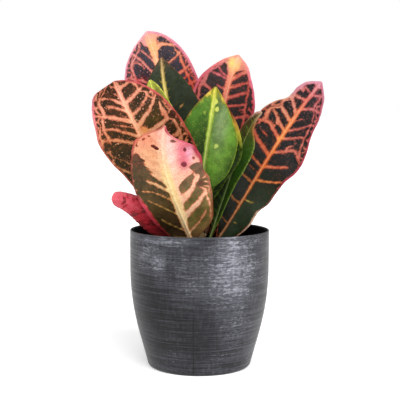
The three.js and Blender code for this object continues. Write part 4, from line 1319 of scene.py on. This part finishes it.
leaves = {name: make_leaf(name) for name in LEAVES}
for name, leaf in leaves.items():
    print(name, "volume in cm3:", round(volume(leaf.data) * 1e6, 2))

# %% [markdown]
# ## Leaf material
#
# A real blade is a sheet of green with coloured sap round its veins, under a thin waxy skin. It could be a
# stack of painted masks. Here the shader asks how far the nearest glowing thing is: a side vein, the midrib,
# the margin, an arch, or the wall of an outer cell. A smooth minimum joins these distances, so that the dark
# panels get the rounded corners of the real ones. Noise frays the edge, a first step draws the red fringe,
# and a second the vein itself. The mesh of small veins shows in the relief alone, and the wax is a clear coat
# over a fairly matt leaf.

# %% Leaf finish
NET_CELLS = 3.2  # cells of the mesh of small veins in a centimetre
EDGE_CELLS = 1.35  # cells beyond the arches in a centimetre
VEIN_WANDER = 0.14  # of the gap between two side veins
ARCH_WANDER = 5.0  # mm
RIB_JOIN, ARCH_JOIN, EDGE_JOIN = 1.9, 1.5, 0.8  # mm of rounding where the glow of two things meets
FRAYING = (4.2, 1.4)  # mm that coarse and fine noise may move the edge of the glow
STREAKS = (1.3, 0.5)  # mm that streaks along the veins may move it, and how much more where the glow floods
FRINGE = (1.3, -0.1)  # mm from the edge of the glow over which the red fringe sets in
GLOW = (0.15, -0.75)  # mm from that edge over which the glow sets in
PANEL_SHADE = (0.006, 0.006, 0.004, 1.0)
PALE_RIB = (1.0, 0.85, 0.6, 1.0)


def mesh_distance(finish, blade, cells, reach):
    """Distance in mm to a mesh of wandering lines, for so many cells in a centimetre."""
    sockets = {"Vector": finish.warped(blade, 1.6, reach), "Scale": cells, "Randomness": 1.0}
    settings = {"voronoi_dimensions": "2D", "feature": "DISTANCE_TO_EDGE"}
    return finish.node("ShaderNodeTexVoronoi", settings, sockets, "Distance") * (10 / cells)


def leaf_finish(name, gloss, speck_colour, fringe, far_side):
    """One kind of leaf: its gloss, and the colours of its specks, its veins' fringe and its other side."""
    finish = Finish(name, Specular_IOR_Level=0.08, Coat_Roughness=0.16, IOR=1.45)
    place, widths, marks, outer = (
        finish.node("ShaderNodeAttribute", {"attribute_name": field}, output="Vector")
        for field in ("place", "widths", "marks", "outer")
    )
    away = finish.node("ShaderNodeAttribute", {"attribute_name": "away"}, output="Fac")
    light = finish.node("ShaderNodeAttribute", {"attribute_name": "light"}, output="Color")
    dark = finish.node("ShaderNodeAttribute", {"attribute_name": "dark"}, output="Color")
    veins = finish.node("ShaderNodeUVMap", {"uv_map": "veins"})
    blade = finish.node("ShaderNodeUVMap", {"uv_map": "blade"})

    _, across, margin = finish.split(place)
    from_middle = across.math("ABSOLUTE")
    lateral_width, rib_width, edge_width = finish.split(widths)
    network, spots, push = finish.split(marks)
    beyond, arch_width, cells = finish.split(outer)
    phase, spacing, _ = finish.split(veins)
    coarse = finish.noise(blade, 2.4, 3.0, 0.6) - 0.5
    fine = finish.noise(blade, 10.0, 3.0, 0.65) - 0.5
    along_veins = finish.node("ShaderNodeCombineXYZ", None, {"X": phase * 6.5, "Y": across * 0.06})
    streaks = finish.noise(along_veins, 1.0, 3.0, 0.6) - 0.5

    # How far the nearest glowing thing is, in millimetres, below 0 inside it.
    wander = finish.noise(blade, 0.9, 2.0) - 0.5
    from_vein = (phase + wander * VEIN_WANDER).math("PINGPONG", 0.5) * spacing - lateral_width
    from_rib = from_middle - rib_width
    from_edge = margin - edge_width
    from_arch = (beyond + wander * ARCH_WANDER).math("ABSOLUTE") - arch_width
    from_cells = mesh_distance(finish, blade, EDGE_CELLS, 0.3) + 2.4 - cells * 2.8
    near = from_vein.math("SMOOTH_MIN", from_rib, RIB_JOIN).math("SMOOTH_MIN", from_edge, EDGE_JOIN)
    near = near.math("SMOOTH_MIN", from_arch, ARCH_JOIN).math("SMOOTH_MIN", from_cells, EDGE_JOIN)
    flooding = (push * (FLUSH_MM - push)).math("MAXIMUM", 0.0)
    frayed = finish.step(from_middle, 0.5, 5.0) * 0.75 + 0.25
    distance = near - push + (coarse * FRAYING[0] + fine * FRAYING[1]) * frayed
    distance = distance + streaks * (flooding * STREAKS[1] + STREAKS[0])
    net = mesh_distance(finish, blade, NET_CELLS, 0.35)

    # Panels with their islands of glow, then the red fringe of the veins, then the veins.
    patches = finish.noise(blade, 0.75, 3.0, 0.6)
    colour = finish.mix(finish.step(patches, 0.35, 0.65) * 0.45, dark, PANEL_SHADE)
    islands = finish.step(finish.noise(blade, 4.5, 2.0, 0.6) + patches * 0.3 - distance * 0.015, 0.74, 0.82)
    colour = finish.mix(islands * network, colour, light)
    colour = finish.mix(finish.specks(blade, 7.0, 0.2) * spots * 0.7, colour, linear(speck_colour))
    red = finish.mix(1.0, light, linear(fringe), "MULTIPLY")
    colour = finish.mix(finish.step(distance, *FRINGE), colour, red)
    shade = finish.step(coarse + fine * 0.9, -0.25, 0.3)
    veined = finish.mix(shade * 0.45, light, red)
    pale_line = finish.step(from_rib + rib_width * 0.8, 0.5, -0.3) * 0.1
    veined = finish.mix(pale_line, veined, PALE_RIB)
    glow = finish.step(distance, *GLOW)
    colour = finish.mix(glow, colour, veined)
    dots = finish.step(finish.noise(blade, 6.5, 2.0, 0.6), 0.56, 0.64) * spots * glow
    colour = finish.mix(dots * 0.6, colour, finish.mix(0.6, dark, red))
    colour = finish.mix(away * 0.45, colour, linear(far_side))

    grain = finish.noise(blade, 26.0, 2.0)
    relief = finish.step(from_vein, 1.6, -0.6) * 0.6 + net.math("MINIMUM", 1.2) * 0.4 + grain * 0.15
    glints = finish.step(finish.noise(blade, 14.0, 2.0, 0.7), 0.58, 0.72) * 5.0
    finish.feed(
        Base_Color=colour,
        Roughness=0.42 + fine * 0.22 + away * 0.18,
        Coat_Weight=(glints + 0.3) * (1 - away * 0.7) * gloss,
        Normal=finish.bump(relief, 0.0004, 0.6),
    )
    return finish.material


print("leaf finish ready")

# %% Dressing the leaves
FINISHES = {
    "ember": leaf_finish("croton_ember", 0.05, "8a4a2c", "d8b0a8", "4a3a2c"),
    "salmon": leaf_finish("croton_salmon", 0.04, "b0603c", "dcb6ac", "6a4a38"),
    "blush": leaf_finish("croton_blush", 0.04, "a85040", "dcac98", "7a5444"),
    "crimson": leaf_finish("croton_crimson", 0.05, "d06070", "d09090", "5a2c2c"),
    "green": leaf_finish("croton_green", 0.06, "c8cc5c", "b8c890", "4a5c30"),
    "deep_green": leaf_finish("croton_deep_green", 0.05, "5c6c38", "b8b890", "2c3420"),
}
FINISH_OF = {
    "ember": ["right", "rear_left", "rear_right", "back_left", "back_right"],
    "salmon": ["left", "low_rear_right", "rear_centre"],
    "blush": ["front"],
    "crimson": ["drooping", "low_rear_left"],
    "green": ["lime", "young"],
    "deep_green": ["folded", "mid", "young_rear"],
}
for finish, names in FINISH_OF.items():
    for short in names:
        node = "leaf_" + short
        finish_piece(leaves[node], FINISHES[finish], finish, node)

# %% [markdown]
# ## The pot
#
# The pot is spun or rolled from thin sheet metal: upright at the rim, bowed below, and drawn in to a small
# foot. It could be a cylinder with edited loops. Geometry Nodes sweep its profile round a circle instead, so
# the profile stays one list of radii and heights, and the small unevenness of handmade metal is one noise
# with a fixed seed. The profile runs from the middle of the floor up the outside, over the rim, and down
# the inside.

# %% Pot profile
POT_HEIGHT = 137  # these are in millimetres
RIM_RADIUS = 69.5
POT_WALL = 1.8
POT_FLOOR = 2.5
CYLINDER_FROM = 100  # height above which the side is upright
SIDE_ARC_RADIUS = 245
TAPER_FROM = 36  # height below which the side runs straight in to the foot
TAPER = 0.275  # millimetres in for each millimetre down
FOOT_ROUNDING = 4
FOOT_HOLLOW = [(3, 1.2), (8, 0)]  # inside the foot: millimetres in from its radius, and up from the floor
OUTSIDE_HEIGHTS = [8, 14, 22, 30, *range(36, 101, 5), 108, 116, 124, 132]
INSIDE_HEIGHTS = [130, 118, 108, *range(98, 10, -8), 8]


def pot_radius(z):
    """The pot's outer radius at a height, both in millimetres."""
    on_arc = np.clip(CYLINDER_FROM - z, 0, CYLINDER_FROM - TAPER_FROM)
    bowed = RIM_RADIUS - SIDE_ARC_RADIUS + np.sqrt(SIDE_ARC_RADIUS**2 - on_arc**2)
    return bowed - TAPER * np.maximum(0, TAPER_FROM - z)


def arc(centre, radius, start, end, steps):
    """Points of an arc in the profile's plane, its angles in degrees."""
    angles = np.radians(np.linspace(start, end, steps))
    return [(centre[0] + radius * math.cos(a), centre[1] + radius * math.sin(a)) for a in angles]


foot = float(pot_radius(FOOT_ROUNDING)) - FOOT_ROUNDING
outside = [(float(pot_radius(z)), z) for z in OUTSIDE_HEIGHTS]
rim = POT_HEIGHT - POT_WALL / 2
inside = [(float(pot_radius(z)) - POT_WALL, z) for z in INSIDE_HEIGHTS]
profile = [(0, 0), (foot / 2, 0), *arc((foot, FOOT_ROUNDING), FOOT_ROUNDING, -90, -15, 7), *outside]
profile += arc((RIM_RADIUS - POT_WALL / 2, rim), POT_WALL / 2, 0, 180, 9)
profile += [*inside, *((foot - inset, POT_FLOOR + up) for inset, up in FOOT_HOLLOW)]
profile += [(foot / 2, POT_FLOOR), (0, POT_FLOOR)]
print("points in the pot's profile:", len(profile))


# %% Helpers for Geometry Nodes
def group_input(tree, sockets):
    """Names the inputs of a Geometry Nodes tree and gives its Group Input node."""
    tree.interface.new_socket("Geometry", in_out="INPUT", socket_type="NodeSocketGeometry")
    tree.interface.new_socket("Geometry", in_out="OUTPUT", socket_type="NodeSocketGeometry")
    for name, kind in sockets.items():
        tree.interface.new_socket(name, in_out="INPUT", socket_type="NodeSocket" + kind)
    return tree.nodes.new("NodeGroupInput")


def result_of(name, base, tree, values):
    """A plain mesh object with what a Geometry Nodes tree makes of a base object."""
    modifier = base.modifiers.new(name, "NODES")
    modifier.node_group = tree
    for item in tree.interface.items_tree:
        if item.in_out == "INPUT" and item.name in values:
            modifier[item.identifier] = values[item.name]
    evaluated = base.evaluated_get(bpy.context.evaluated_depsgraph_get())
    mesh = bpy.data.meshes.new_from_object(evaluated)
    base.modifiers.remove(modifier)
    bpy.data.objects.remove(base)
    mesh.name = name
    made = bpy.data.objects.new(name, mesh)
    bpy.context.scene.collection.objects.link(made)
    return made


print("helpers for Geometry Nodes ready")

# %% A tree that spins a profile
SPUN_ON = 0.01  # radius of the circle that carries the profile
SAME_POINT = 0.00005  # metres within which points are merged


def spin_tree():
    """Sweeps a profile round the Z axis, closes its poles and dents it a little."""
    group = bpy.data.node_groups.new("spin_profile", "GeometryNodeTree")
    sizes = {"Segments": "Int", "Unevenness": "Float", "Seed": "Float", "Material": "Material"}
    tree, given = Tree(group), group_input(group, sizes)
    socket = {name: Value(tree, given.outputs[name]) for name in ("Geometry", *sizes)}
    curve = tree.node("GeometryNodeMeshToCurve", None, {"Mesh": socket["Geometry"]})
    circle = {"Resolution": socket["Segments"], "Radius": SPUN_ON}
    ring = tree.node("GeometryNodeCurvePrimitiveCircle", None, circle)
    ring = tree.node("GeometryNodeSetCurveNormal", None, {"Curve": ring})
    spun = tree.node("GeometryNodeCurveToMesh", None, {"Curve": ring, "Profile Curve": curve})
    spun = tree.node("GeometryNodeMergeByDistance", None, {"Geometry": spun, "Distance": SAME_POINT})
    place = tree.node("GeometryNodeInputPosition")
    sockets = {"Vector": place, "W": socket["Seed"], "Scale": 26.0, "Detail": 1.0}
    noise = tree.node("ShaderNodeTexNoise", {"noise_dimensions": "4D"}, sockets)
    outward = {0: tree.node("GeometryNodeInputNormal"), "Scale": (noise - 0.5) * socket["Unevenness"]}
    dent = tree.node("ShaderNodeVectorMath", {"operation": "SCALE"}, outward)
    spun = tree.node("GeometryNodeSetPosition", None, {"Geometry": spun, "Offset": dent})
    spun = tree.node("GeometryNodeSetShadeSmooth", None, {"Geometry": spun})
    spun = tree.node("GeometryNodeRealizeInstances", None, {"Geometry": spun})
    spun = tree.node("GeometryNodeSetMaterial", None, {"Geometry": spun, "Material": socket["Material"]})
    tree.node("NodeGroupOutput", None, {"Geometry": spun})
    return group


spin = spin_tree()
print("nodes in the spin tree:", len(spin.nodes))

# %% [markdown]
# ## Brushed metal
#
# The sheet is zinc-plated or waxed steel, brushed round and round: dark grey, with fine bright and dark
# streaks that run level, places where handling has rubbed it bright, a painted highlight down its right side,
# painted shade on its sides and low down, a soldered seam, and painted shade that makes the inside
# near-black.
# An image of scratches would show a seam of its own, so the streaks are noise in space, drawn out up to sixty
# times more along the wall than up it. Drawing out in X and Y alike has no seam, because the wall turns
# through the same noise.

# %% Metal finish
SEAM_ACROSS = -0.0056  # metres from the middle, on the front
SEAM_TOP = 0.066
SEAM_HALF_WIDTH = 0.0004
FLAT_RIM = (0.1352, 0.1364)  # metres up, over which the wall turns into the rim
DARK_STEEL, GREY_STEEL, BRIGHT_STEEL = linear("060608"), linear("494a51"), linear("a8aab3")
# The last colour on the next line, near-black, is painted shade for the inside of the pot.
RIM_STEEL, SEAM_COLOUR, INSIDE_PAINTED_SHADE = linear("a8abb2"), linear("050506"), linear("070708")

# The noises of the brushing: how finely each runs along X, Y and Z, its detail and its roughness.
BRUSHING = [
    ((16.0, 16.0, 950.0), 3.0, 0.6), ((420.0, 420.0, 60.0), 2.0, 0.6), ((260.0, 260.0, 800.0), 2.0, 0.65),
    ((45.0, 45.0, 520.0), 4.0, 0.7),
]

# Where the pot is rubbed brighter, where a highlight is painted down its right side and, below 0, where shade
# is painted on its sides and low down: angle from the front in radians, height in metres, half the width in
# radians, half the height in metres, and how much.
WEAR_AND_PAINTED_LIGHT_PLACES = [
    (-0.75, 0.114, 0.35, 0.022, 1.3), (-0.58, 0.104, 0.16, 0.022, 0.6), (0.55, 0.102, 0.5, 0.034, 1.1),
    (0.3, 0.102, 0.9, 0.034, 0.9), (-0.45, 0.132, 0.6, 0.006, 1.6), (0.65, 0.131, 0.6, 0.009, 1.4),
    (0.55, 0.06, 0.5, 0.04, 0.9), (-0.9, 0.06, 0.8, 0.06, -1.3), (0.0, 0.045, 0.5, 0.04, -0.9),
    (-1.4, 0.1, 0.4, 0.08, -1.0), (1.3, 0.07, 0.3, 0.08, -0.9),
]


def wall_radius(z):
    """The same radius as nodes, with both in metres."""
    on_arc = (CYLINDER_FROM * MM - z).math("MAXIMUM", 0.0).math("MINIMUM", (CYLINDER_FROM - TAPER_FROM) * MM)
    bowed = ((SIDE_ARC_RADIUS * MM) ** 2 - on_arc * on_arc).math("SQRT") + (RIM_RADIUS - SIDE_ARC_RADIUS) * MM
    return bowed - TAPER * (TAPER_FROM * MM - z).math("MAXIMUM", 0.0)


def metal_finish():
    """Brushed metal, with its inside and its seam told apart by where they are."""
    metal = Finish("brushed_dark_metal", IOR=2.2, Specular_IOR_Level=0.5)
    place = metal.node("ShaderNodeTexCoord", output="Object")
    x, y, z = metal.split(place)
    angle = metal.math("ARCTAN2", x, 0 - y)
    from_axis = metal.math("SQRT", x * x + y * y)
    inward = metal.step(from_axis - wall_radius(z), -0.0006, -0.0012)
    brushed, weave, flecks, dashes = (
        metal.noise(metal.stretched(place, fineness), 1.0, detail, roughness)
        for fineness, detail, roughness in BRUSHING
    )
    patches = metal.noise(metal.stretched(place, (1.0, 1.0, 0.8)), 26.0, 3.0, 0.6)
    # Random patches of tone, lighter towards the top, and the places above: wear, painted highlight and
    # painted shade.
    wear_and_painted_light = (patches - 0.5) * 2.0 + metal.step(z, 0.03, 0.12) * 0.5
    for where, height, width, reach, strength in WEAR_AND_PAINTED_LIGHT_PLACES:
        across, up = (angle - where) / width, (z - height) / reach
        wear_and_painted_light = wear_and_painted_light + metal.step(across * across + up * up, 1.0, 0.0) * strength
    rim = metal.step(z, *FLAT_RIM)
    seam = metal.step((x - SEAM_ACROSS).math("ABSOLUTE"), SEAM_HALF_WIDTH * 2.2, SEAM_HALF_WIDTH * 0.6)
    seam = seam * metal.step(y, 0.0, -0.01) * metal.step(z, SEAM_TOP, SEAM_TOP - 0.008)
    tone = (brushed - 0.5) * 1.9 + (flecks - 0.5) * 0.5 + (weave - 0.5) * 0.5 + wear_and_painted_light * 0.24
    bright = metal.step(flecks * 0.45 + dashes * 0.45 + weave * 0.1 + wear_and_painted_light * 0.06, 0.55, 0.88)
    colour = metal.mix(metal.step(tone, -0.5, 0.75), DARK_STEEL, GREY_STEEL)
    colour = metal.mix(bright * 0.88, colour, BRIGHT_STEEL)
    colour = metal.mix(rim * 0.16, colour, RIM_STEEL)
    colour = metal.mix(seam * 0.85, colour, SEAM_COLOUR)
    # The inside is painted near-black: painted shade in the pot's hollow.
    colour = metal.mix(inward * (1 - rim), colour, INSIDE_PAINTED_SHADE)
    metal.feed(
        Base_Color=colour,
        Metallic=0.85 + inward * 0.15,
        Roughness=0.42 - (brushed - 0.5) * 0.3 - bright * 0.12 + inward * 0.2,
        Normal=metal.bump(brushed + flecks * 0.5 - seam, 0.0001, 0.5),
    )
    return metal.material


metal = metal_finish()
print("metal finish:", len(metal.node_tree.nodes), "nodes")

# %% Spin the pot
points = np.array([(r * MM - SPUN_ON, -z * MM, 0) for r, z in profile])
base = mesh_object("pot_profile", points, [])
base.data.edges.add(len(points) - 1)
for i, edge in enumerate(base.data.edges):
    edge.vertices = (i, i + 1)
sizes = {"Segments": 192, "Unevenness": 0.0003, "Seed": 4.0, "Material": metal}
pot = result_of("pot_shell", base, spin, sizes)
print("pot's volume in cm3:", round(volume(pot.data) * 1e6, 1))
finish_piece(pot, metal, "pot", "pot")

# %% [markdown]
# ## Soil
#
# Potting soil is dark peat with crumbs, bits of bark and white perlite. A noise on a disc would look like
# cloth, so the bed is a closed body with an uneven top, and Geometry Nodes strew crumbs on it: points no
# closer together than a crumb, an instance on each, turned and scaled at random with a fixed seed.

# %% Soil bed
SOIL_BUMP = 1.6  # these are in millimetres
CLEARANCE = 0.3  # between the soil and what it touches
STEM_HOLE_FLOOR = 66  # above the soil's underside
WALL_HEIGHTS = (96, 80, 60, 40, 20)  # of the rings down the pot's wall
FOOT_SHARE = 1.25  # how much further the soil's foot curves up than the pot's own
SOIL_SEGMENTS, TOP_RINGS = 120, 45


def soil_top(x, y):
    """How far the top of the soil stands over its level. It is level at the wall."""
    r = np.hypot(x, y) / (pot_radius(SOIL_LEVEL) - POT_WALL)
    edge = np.sin(np.pi * np.minimum(1, r)) ** 0.5
    swell = np.sin(0.21 * x + 0.6) * np.cos(0.17 * y) + 0.5 * np.sin(0.43 * y + 0.3 * x)
    lumps = 0.45 * np.sin(1.1 * x + 2.3 * np.sin(0.4 * y)) * np.sin(0.9 * y + 1.7 * np.sin(0.5 * x))
    return SOIL_BUMP * edge * (swell + lumps)


def circles(rings, angles):
    """Points on level circles, from the radius and height of each."""
    return np.array([[(r * np.cos(a), r * np.sin(a), z) for a in angles] for r, z in rings])


def soil_bed():
    """A closed body that fills the pot, with a hole for the stem's foot."""
    hole, bottom = STEM_FOOT_RADIUS + CLEARANCE, POT_FLOOR + CLEARANCE
    wall = {z: float(pot_radius(z)) - POT_WALL - CLEARANCE for z in (8, *WALL_HEIGHTS, SOIL_LEVEL)}
    shares = np.linspace(0, 1, TOP_RINGS + 1)
    rings = [(foot - inset - CLEARANCE, bottom + FOOT_SHARE * up) for inset, up in FOOT_HOLLOW[::-1]]
    rings += [(wall[8], 9), *((wall[z], z) for z in WALL_HEIGHTS[::-1])]
    rings += [(hole + (wall[SOIL_LEVEL] - hole) * share, SOIL_LEVEL) for share in shares[::-1]]
    rings += [(hole, bottom + STEM_HOLE_FLOOR)]
    grid = circles(rings, 2 * np.pi * np.arange(SOIL_SEGMENTS) / SOIL_SEGMENTS)
    grid[..., 2] += (grid[..., 2] > SOIL_LEVEL - 0.01) * soil_top(grid[..., 0], grid[..., 1])
    points = np.concatenate([grid.reshape(-1, 3), grid[[0, -1]].mean(1)]) * MM
    return mesh_object("soil_bed", points, loft_faces(len(rings), SOIL_SEGMENTS))


soil = soil_bed()
print("soil's volume in cm3:", round(volume(soil.data) * 1e6))


# %% Soil finishes
def peat_finish(name, dark, brown, scale):
    """A crumbly finish between two colours, with a larger scale for smaller lumps."""
    peat = Finish(name, Specular_IOR_Level=0.2)
    place = peat.node("ShaderNodeTexCoord", output="Object")
    lumps = peat.noise(place, scale, 5.0, 0.7)
    crumbs = peat.node("ShaderNodeTexVoronoi", None, {"Vector": place, "Scale": scale * 3}, "Distance")
    tone = lumps * 0.8 + crumbs * 0.4
    peat.feed(
        Base_Color=peat.mix(peat.step(tone, 0.3, 0.85), linear(dark), linear(brown)),
        Roughness=0.85 + (lumps - 0.5) * 0.2,
        Normal=peat.bump(tone, 0.0012, 0.8),
    )
    return peat.material


peat = peat_finish("peat", "120c08", "3c2a1c", 160.0)
bark = peat_finish("bark_crumbs", "20140c", "5c3c24", 300.0)
perlite = peat_finish("perlite", "a8a49c", "dcd8d0", 400.0)
finish_piece(soil, peat, "soil", "soil")

# %% A tree that strews crumbs
MOST_CRUMBS = 90000.0  # on a square metre
FULL_TURN = 6.28
LONG, NARROW = 1.25, 0.9  # a crumb's length and breadth, as shares of its size


def strew_tree():
    """Strews crumbs of random size, the small ones more often, over the faces of a mesh."""
    group = bpy.data.node_groups.new("strew_crumbs", "GeometryNodeTree")
    floats = ("Apart", "Share", "Smallest", "Largest", "Flatness")
    sizes = {**dict.fromkeys(floats, "Float"), "Seed": "Int"}
    tree, given = Tree(group), group_input(group, {**sizes, "Material": "Material"})
    socket = {name: Value(tree, given.outputs[name]) for name in ("Geometry", *sizes, "Material")}
    sockets = {"Mesh": socket["Geometry"], "Distance Min": socket["Apart"], "Density Max": MOST_CRUMBS}
    sockets["Seed"] = socket["Seed"]
    spots = tree.node("GeometryNodeDistributePointsOnFaces", {"distribute_method": "POISSON"}, sockets)
    crumb = tree.node("GeometryNodeMeshIcoSphere", None, {"Radius": 1.0, "Subdivisions": 1})
    random = {"data_type": "FLOAT_VECTOR"}
    turn = {0: (0.0, 0.0, 0.0), 1: (FULL_TURN,) * 3, "Seed": socket["Seed"]}
    turn = tree.node("FunctionNodeRandomValue", random, turn)
    chance = {2: 0.0, 3: 1.0, "Seed": socket["Seed"] + 1.0}
    chance = tree.node("FunctionNodeRandomValue", {"data_type": "FLOAT"}, chance, 1)
    size = chance * chance * (socket["Largest"] - socket["Smallest"]) + socket["Smallest"]
    kept = {"Probability": socket["Share"], "Seed": socket["Seed"] + 2.0}
    kept = tree.node("FunctionNodeRandomValue", {"data_type": "BOOLEAN"}, kept, 3)
    flat = {"X": size * LONG, "Y": size * NARROW, "Z": size * socket["Flatness"]}
    flat = tree.node("ShaderNodeCombineXYZ", None, flat)
    sockets = {"Points": spots, "Instance": crumb, "Rotation": turn, "Scale": flat, "Selection": kept}
    strewn = tree.node("GeometryNodeInstanceOnPoints", None, sockets)
    strewn = tree.node("GeometryNodeRealizeInstances", None, {"Geometry": strewn})
    strewn = tree.node("GeometryNodeSetMaterial", None, {"Geometry": strewn, "Material": socket["Material"]})
    tree.node("NodeGroupOutput", None, {"Geometry": strewn})
    return group


strew = strew_tree()
print("nodes in the strewing tree:", len(strew.nodes))

# %% Strew the crumbs
TOP_CIRCLES, TOP_SEGMENTS = 24, 72
KEEP_OFF = (2.5, 2.2)  # millimetres that crumbs stay away from the stem and from the pot


def bed_top():
    """The part of the soil's top that crumbs may lie on."""
    first, last = STEM_FOOT_RADIUS + KEEP_OFF[0], float(pot_radius(SOIL_LEVEL)) - POT_WALL - KEEP_OFF[1]
    angles, count = 2 * np.pi * np.arange(TOP_SEGMENTS + 1) / TOP_SEGMENTS, TOP_SEGMENTS + 1
    grid = circles([(r, SOIL_LEVEL) for r in np.linspace(first, last, TOP_CIRCLES)], angles)
    grid[..., 2] += soil_top(grid[..., 0], grid[..., 1])
    i, j = np.meshgrid(np.arange(TOP_CIRCLES - 1), np.arange(TOP_SEGMENTS), indexing="ij")
    a = i * count + j
    faces = np.stack([a, a + count, a + count + 1, a + 1], -1).reshape(-1, 4)
    return mesh_object("bed_top", grid.reshape(-1, 3) * MM, faces)


CRUMB_SIZES = ("Apart", "Share", "Smallest", "Largest", "Flatness", "Seed")  # lengths in metres
CRUMBS = {
    "soil_crumbs": (peat, (0.0021, 1.0, 0.0006, 0.0018, 0.8, 3)),
    "bark_bits": (bark, (0.004, 0.22, 0.0009, 0.0028, 0.35, 8)),
    "perlite_bits": (perlite, (0.004, 0.07, 0.0005, 0.0016, 0.85, 21)),
}
for name, (material, values) in CRUMBS.items():
    bits = result_of(name, bed_top(), strew, {**dict(zip(CRUMB_SIZES, values)), "Material": material})
    bits.data.shade_smooth()
    finish_piece(bits, material, "soil")
    print(name, "have", len(bits.data.vertices), "points")

# %% [markdown]
# ## Stem
#
# The stem is a short woody shoot, thick as a finger, with a raised seat under each leaf and scars where
# older leaves have dropped. Building each seat by hand would repeat what the frame's solid already has, so
# the solid is copied, its loose triangles are merged, and a fine remesh melts its edges together.

# %% Stem mesh
WELD_REACH = 0.00002  # in metres, like the next one
REMESH_VOXEL = 0.0008


def stem_mesh():
    """The frame's stem, remeshed and smoothed."""
    copy = bpy.data.objects.new("stem_wood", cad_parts["stem"].data.copy())
    bpy.context.scene.collection.objects.link(copy)
    weld = copy.modifiers.new("weld", "WELD")
    weld.merge_threshold = WELD_REACH
    remesh = copy.modifiers.new("remesh", "REMESH")
    remesh.mode, remesh.voxel_size = "VOXEL", REMESH_VOXEL
    soften = copy.modifiers.new("soften", "SMOOTH")
    soften.factor, soften.iterations = 0.5, 6
    evaluated = copy.evaluated_get(bpy.context.evaluated_depsgraph_get())
    mesh = bpy.data.meshes.new_from_object(evaluated)
    copy.modifiers.clear()
    copy.data = mesh
    mesh.shade_smooth()
    return copy


stem = stem_mesh()
print("stem's volume in cm3:", round(volume(stem.data) * 1e6, 1))

# %% Stem finish
GREEN_FROM = (0.135, 0.172)  # metres up, over which the bark turns young and green


def wood_finish():
    wood = Finish("young_wood", Specular_IOR_Level=0.35)
    place = wood.node("ShaderNodeTexCoord", output="Object")
    _, _, height = wood.split(place)
    fibres = wood.noise(wood.stretched(place, (1.0, 1.0, 0.12)), 900.0, 4.0, 0.6)
    rings = wood.noise(wood.stretched(place, (0.25, 0.25, 1.0)), 260.0, 3.0, 0.6)
    young = wood.step(height + (rings - 0.5) * 0.02, *GREEN_FROM)
    colour = wood.mix(wood.step(fibres, 0.35, 0.7), linear("4a3a26"), linear("7a6644"))
    colour = wood.mix(young, colour, linear("6c7a38"))
    colour = wood.mix(wood.step(rings, 0.6, 0.72) * 0.5, colour, linear("2c2216"))
    wood.feed(
        Base_Color=colour,
        Roughness=0.6 + (fibres - 0.5) * 0.3 - young * 0.1,
        Normal=wood.bump(fibres * 0.5 + rings, 0.0005, 0.6),
    )
    return wood.material


finish_piece(stem, wood_finish(), "stem", "stem")

# %% [markdown]
# ## Floor, light and sky
#
# The picture is a studio one: white all round, with almost no shadow. A wide floor under a white sky gives
# that. The sky is white where the camera looks at it and grey where it lights the plant, so that the dark
# panels stay dark. The floor itself glows a little, like a lightbox, which takes most of the shadow out. A
# soft sun, high in front and a little to the right, lights leaves and floor evenly. It doesn't mirror in the
# gloss, which is left to two lamps: a tall one on the right, which draws the highlight down the side of the
# pot, and a broad faint one on the left.

# %% Stage
FLOOR_HALF_WIDTH = 30.0
FLOOR_GLOW = 0.25
floor_corners = np.array([(-1, -1, 0), (1, -1, 0), (1, 1, 0), (-1, 1, 0)]) * FLOOR_HALF_WIDTH


def floor_finish():
    """White paint that glows faintly."""
    glow = {"Emission_Color": (1.0, 1.0, 1.0, 1.0), "Emission_Strength": FLOOR_GLOW}
    paint = Finish("white_floor", Roughness=0.9, Specular_IOR_Level=0.1, **glow)
    place = paint.node("ShaderNodeTexCoord", output="Object")
    grain = paint.noise(place, 3.0, 2.0)
    paint.feed(Base_Color=paint.mix(grain * 0.1, linear("f4f4f4"), linear("fafafa")))
    return paint.material


floor = mesh_object("floor", floor_corners, np.array([[0, 1, 2, 3]]))
floor.data.materials.append(floor_finish())
print("the floor is", 2 * FLOOR_HALF_WIDTH, "m wide")

# %% Sky
SKY_LIGHT = 0.4
world = bpy.data.worlds.new("studio")
world.use_nodes = True
world.node_tree.nodes.clear()
bpy.context.scene.world = world
sky = Tree(world.node_tree)
seen = sky.node("ShaderNodeLightPath", output="Is Camera Ray")
white = {"Color": (1.0, 1.0, 1.0, 1.0)}
lit = sky.node("ShaderNodeBackground", None, {**white, "Strength": SKY_LIGHT})
shown = sky.node("ShaderNodeBackground", None, {**white, "Strength": 1.0})
both = sky.node("ShaderNodeMixShader", None, {0: seen, 1: lit, 2: shown})
sky.node("ShaderNodeOutputWorld", None, {"Surface": both})
print("nodes in the sky:", len(world.node_tree.nodes))


# %% Lamps
def lamp(name, kind, place, aim, power, **settings):
    """A lamp that looks at a point. Its strength is in watts, or for a sun in watts on a square metre."""
    light = bpy.data.lights.new(name, kind)
    light.energy = power
    for key, value in settings.items():
        setattr(light, key, value)
    made = bpy.data.objects.new(name, light)
    made.location = place
    made.rotation_euler = (Vector(aim) - Vector(place)).to_track_quat("-Z", "Y").to_euler()
    bpy.context.scene.collection.objects.link(made)
    return made


sun = lamp("sun", "SUN", (0.5, -2.0, 2.1), (0, 0, 0.1), 3.8, angle=math.radians(70))
sun.visible_glossy = False
lamp("right_strip", "AREA", (1.0, -0.85, 0.5), (0, 0, 0.12), 7, shape="RECTANGLE", size=0.25, size_y=1.1)
lamp("left_panel", "AREA", (-1.3, -0.9, 0.9), (0, 0, 0.2), 4, shape="RECTANGLE", size=0.7, size_y=0.9)
bpy.context.scene.view_settings.view_transform = "Standard"
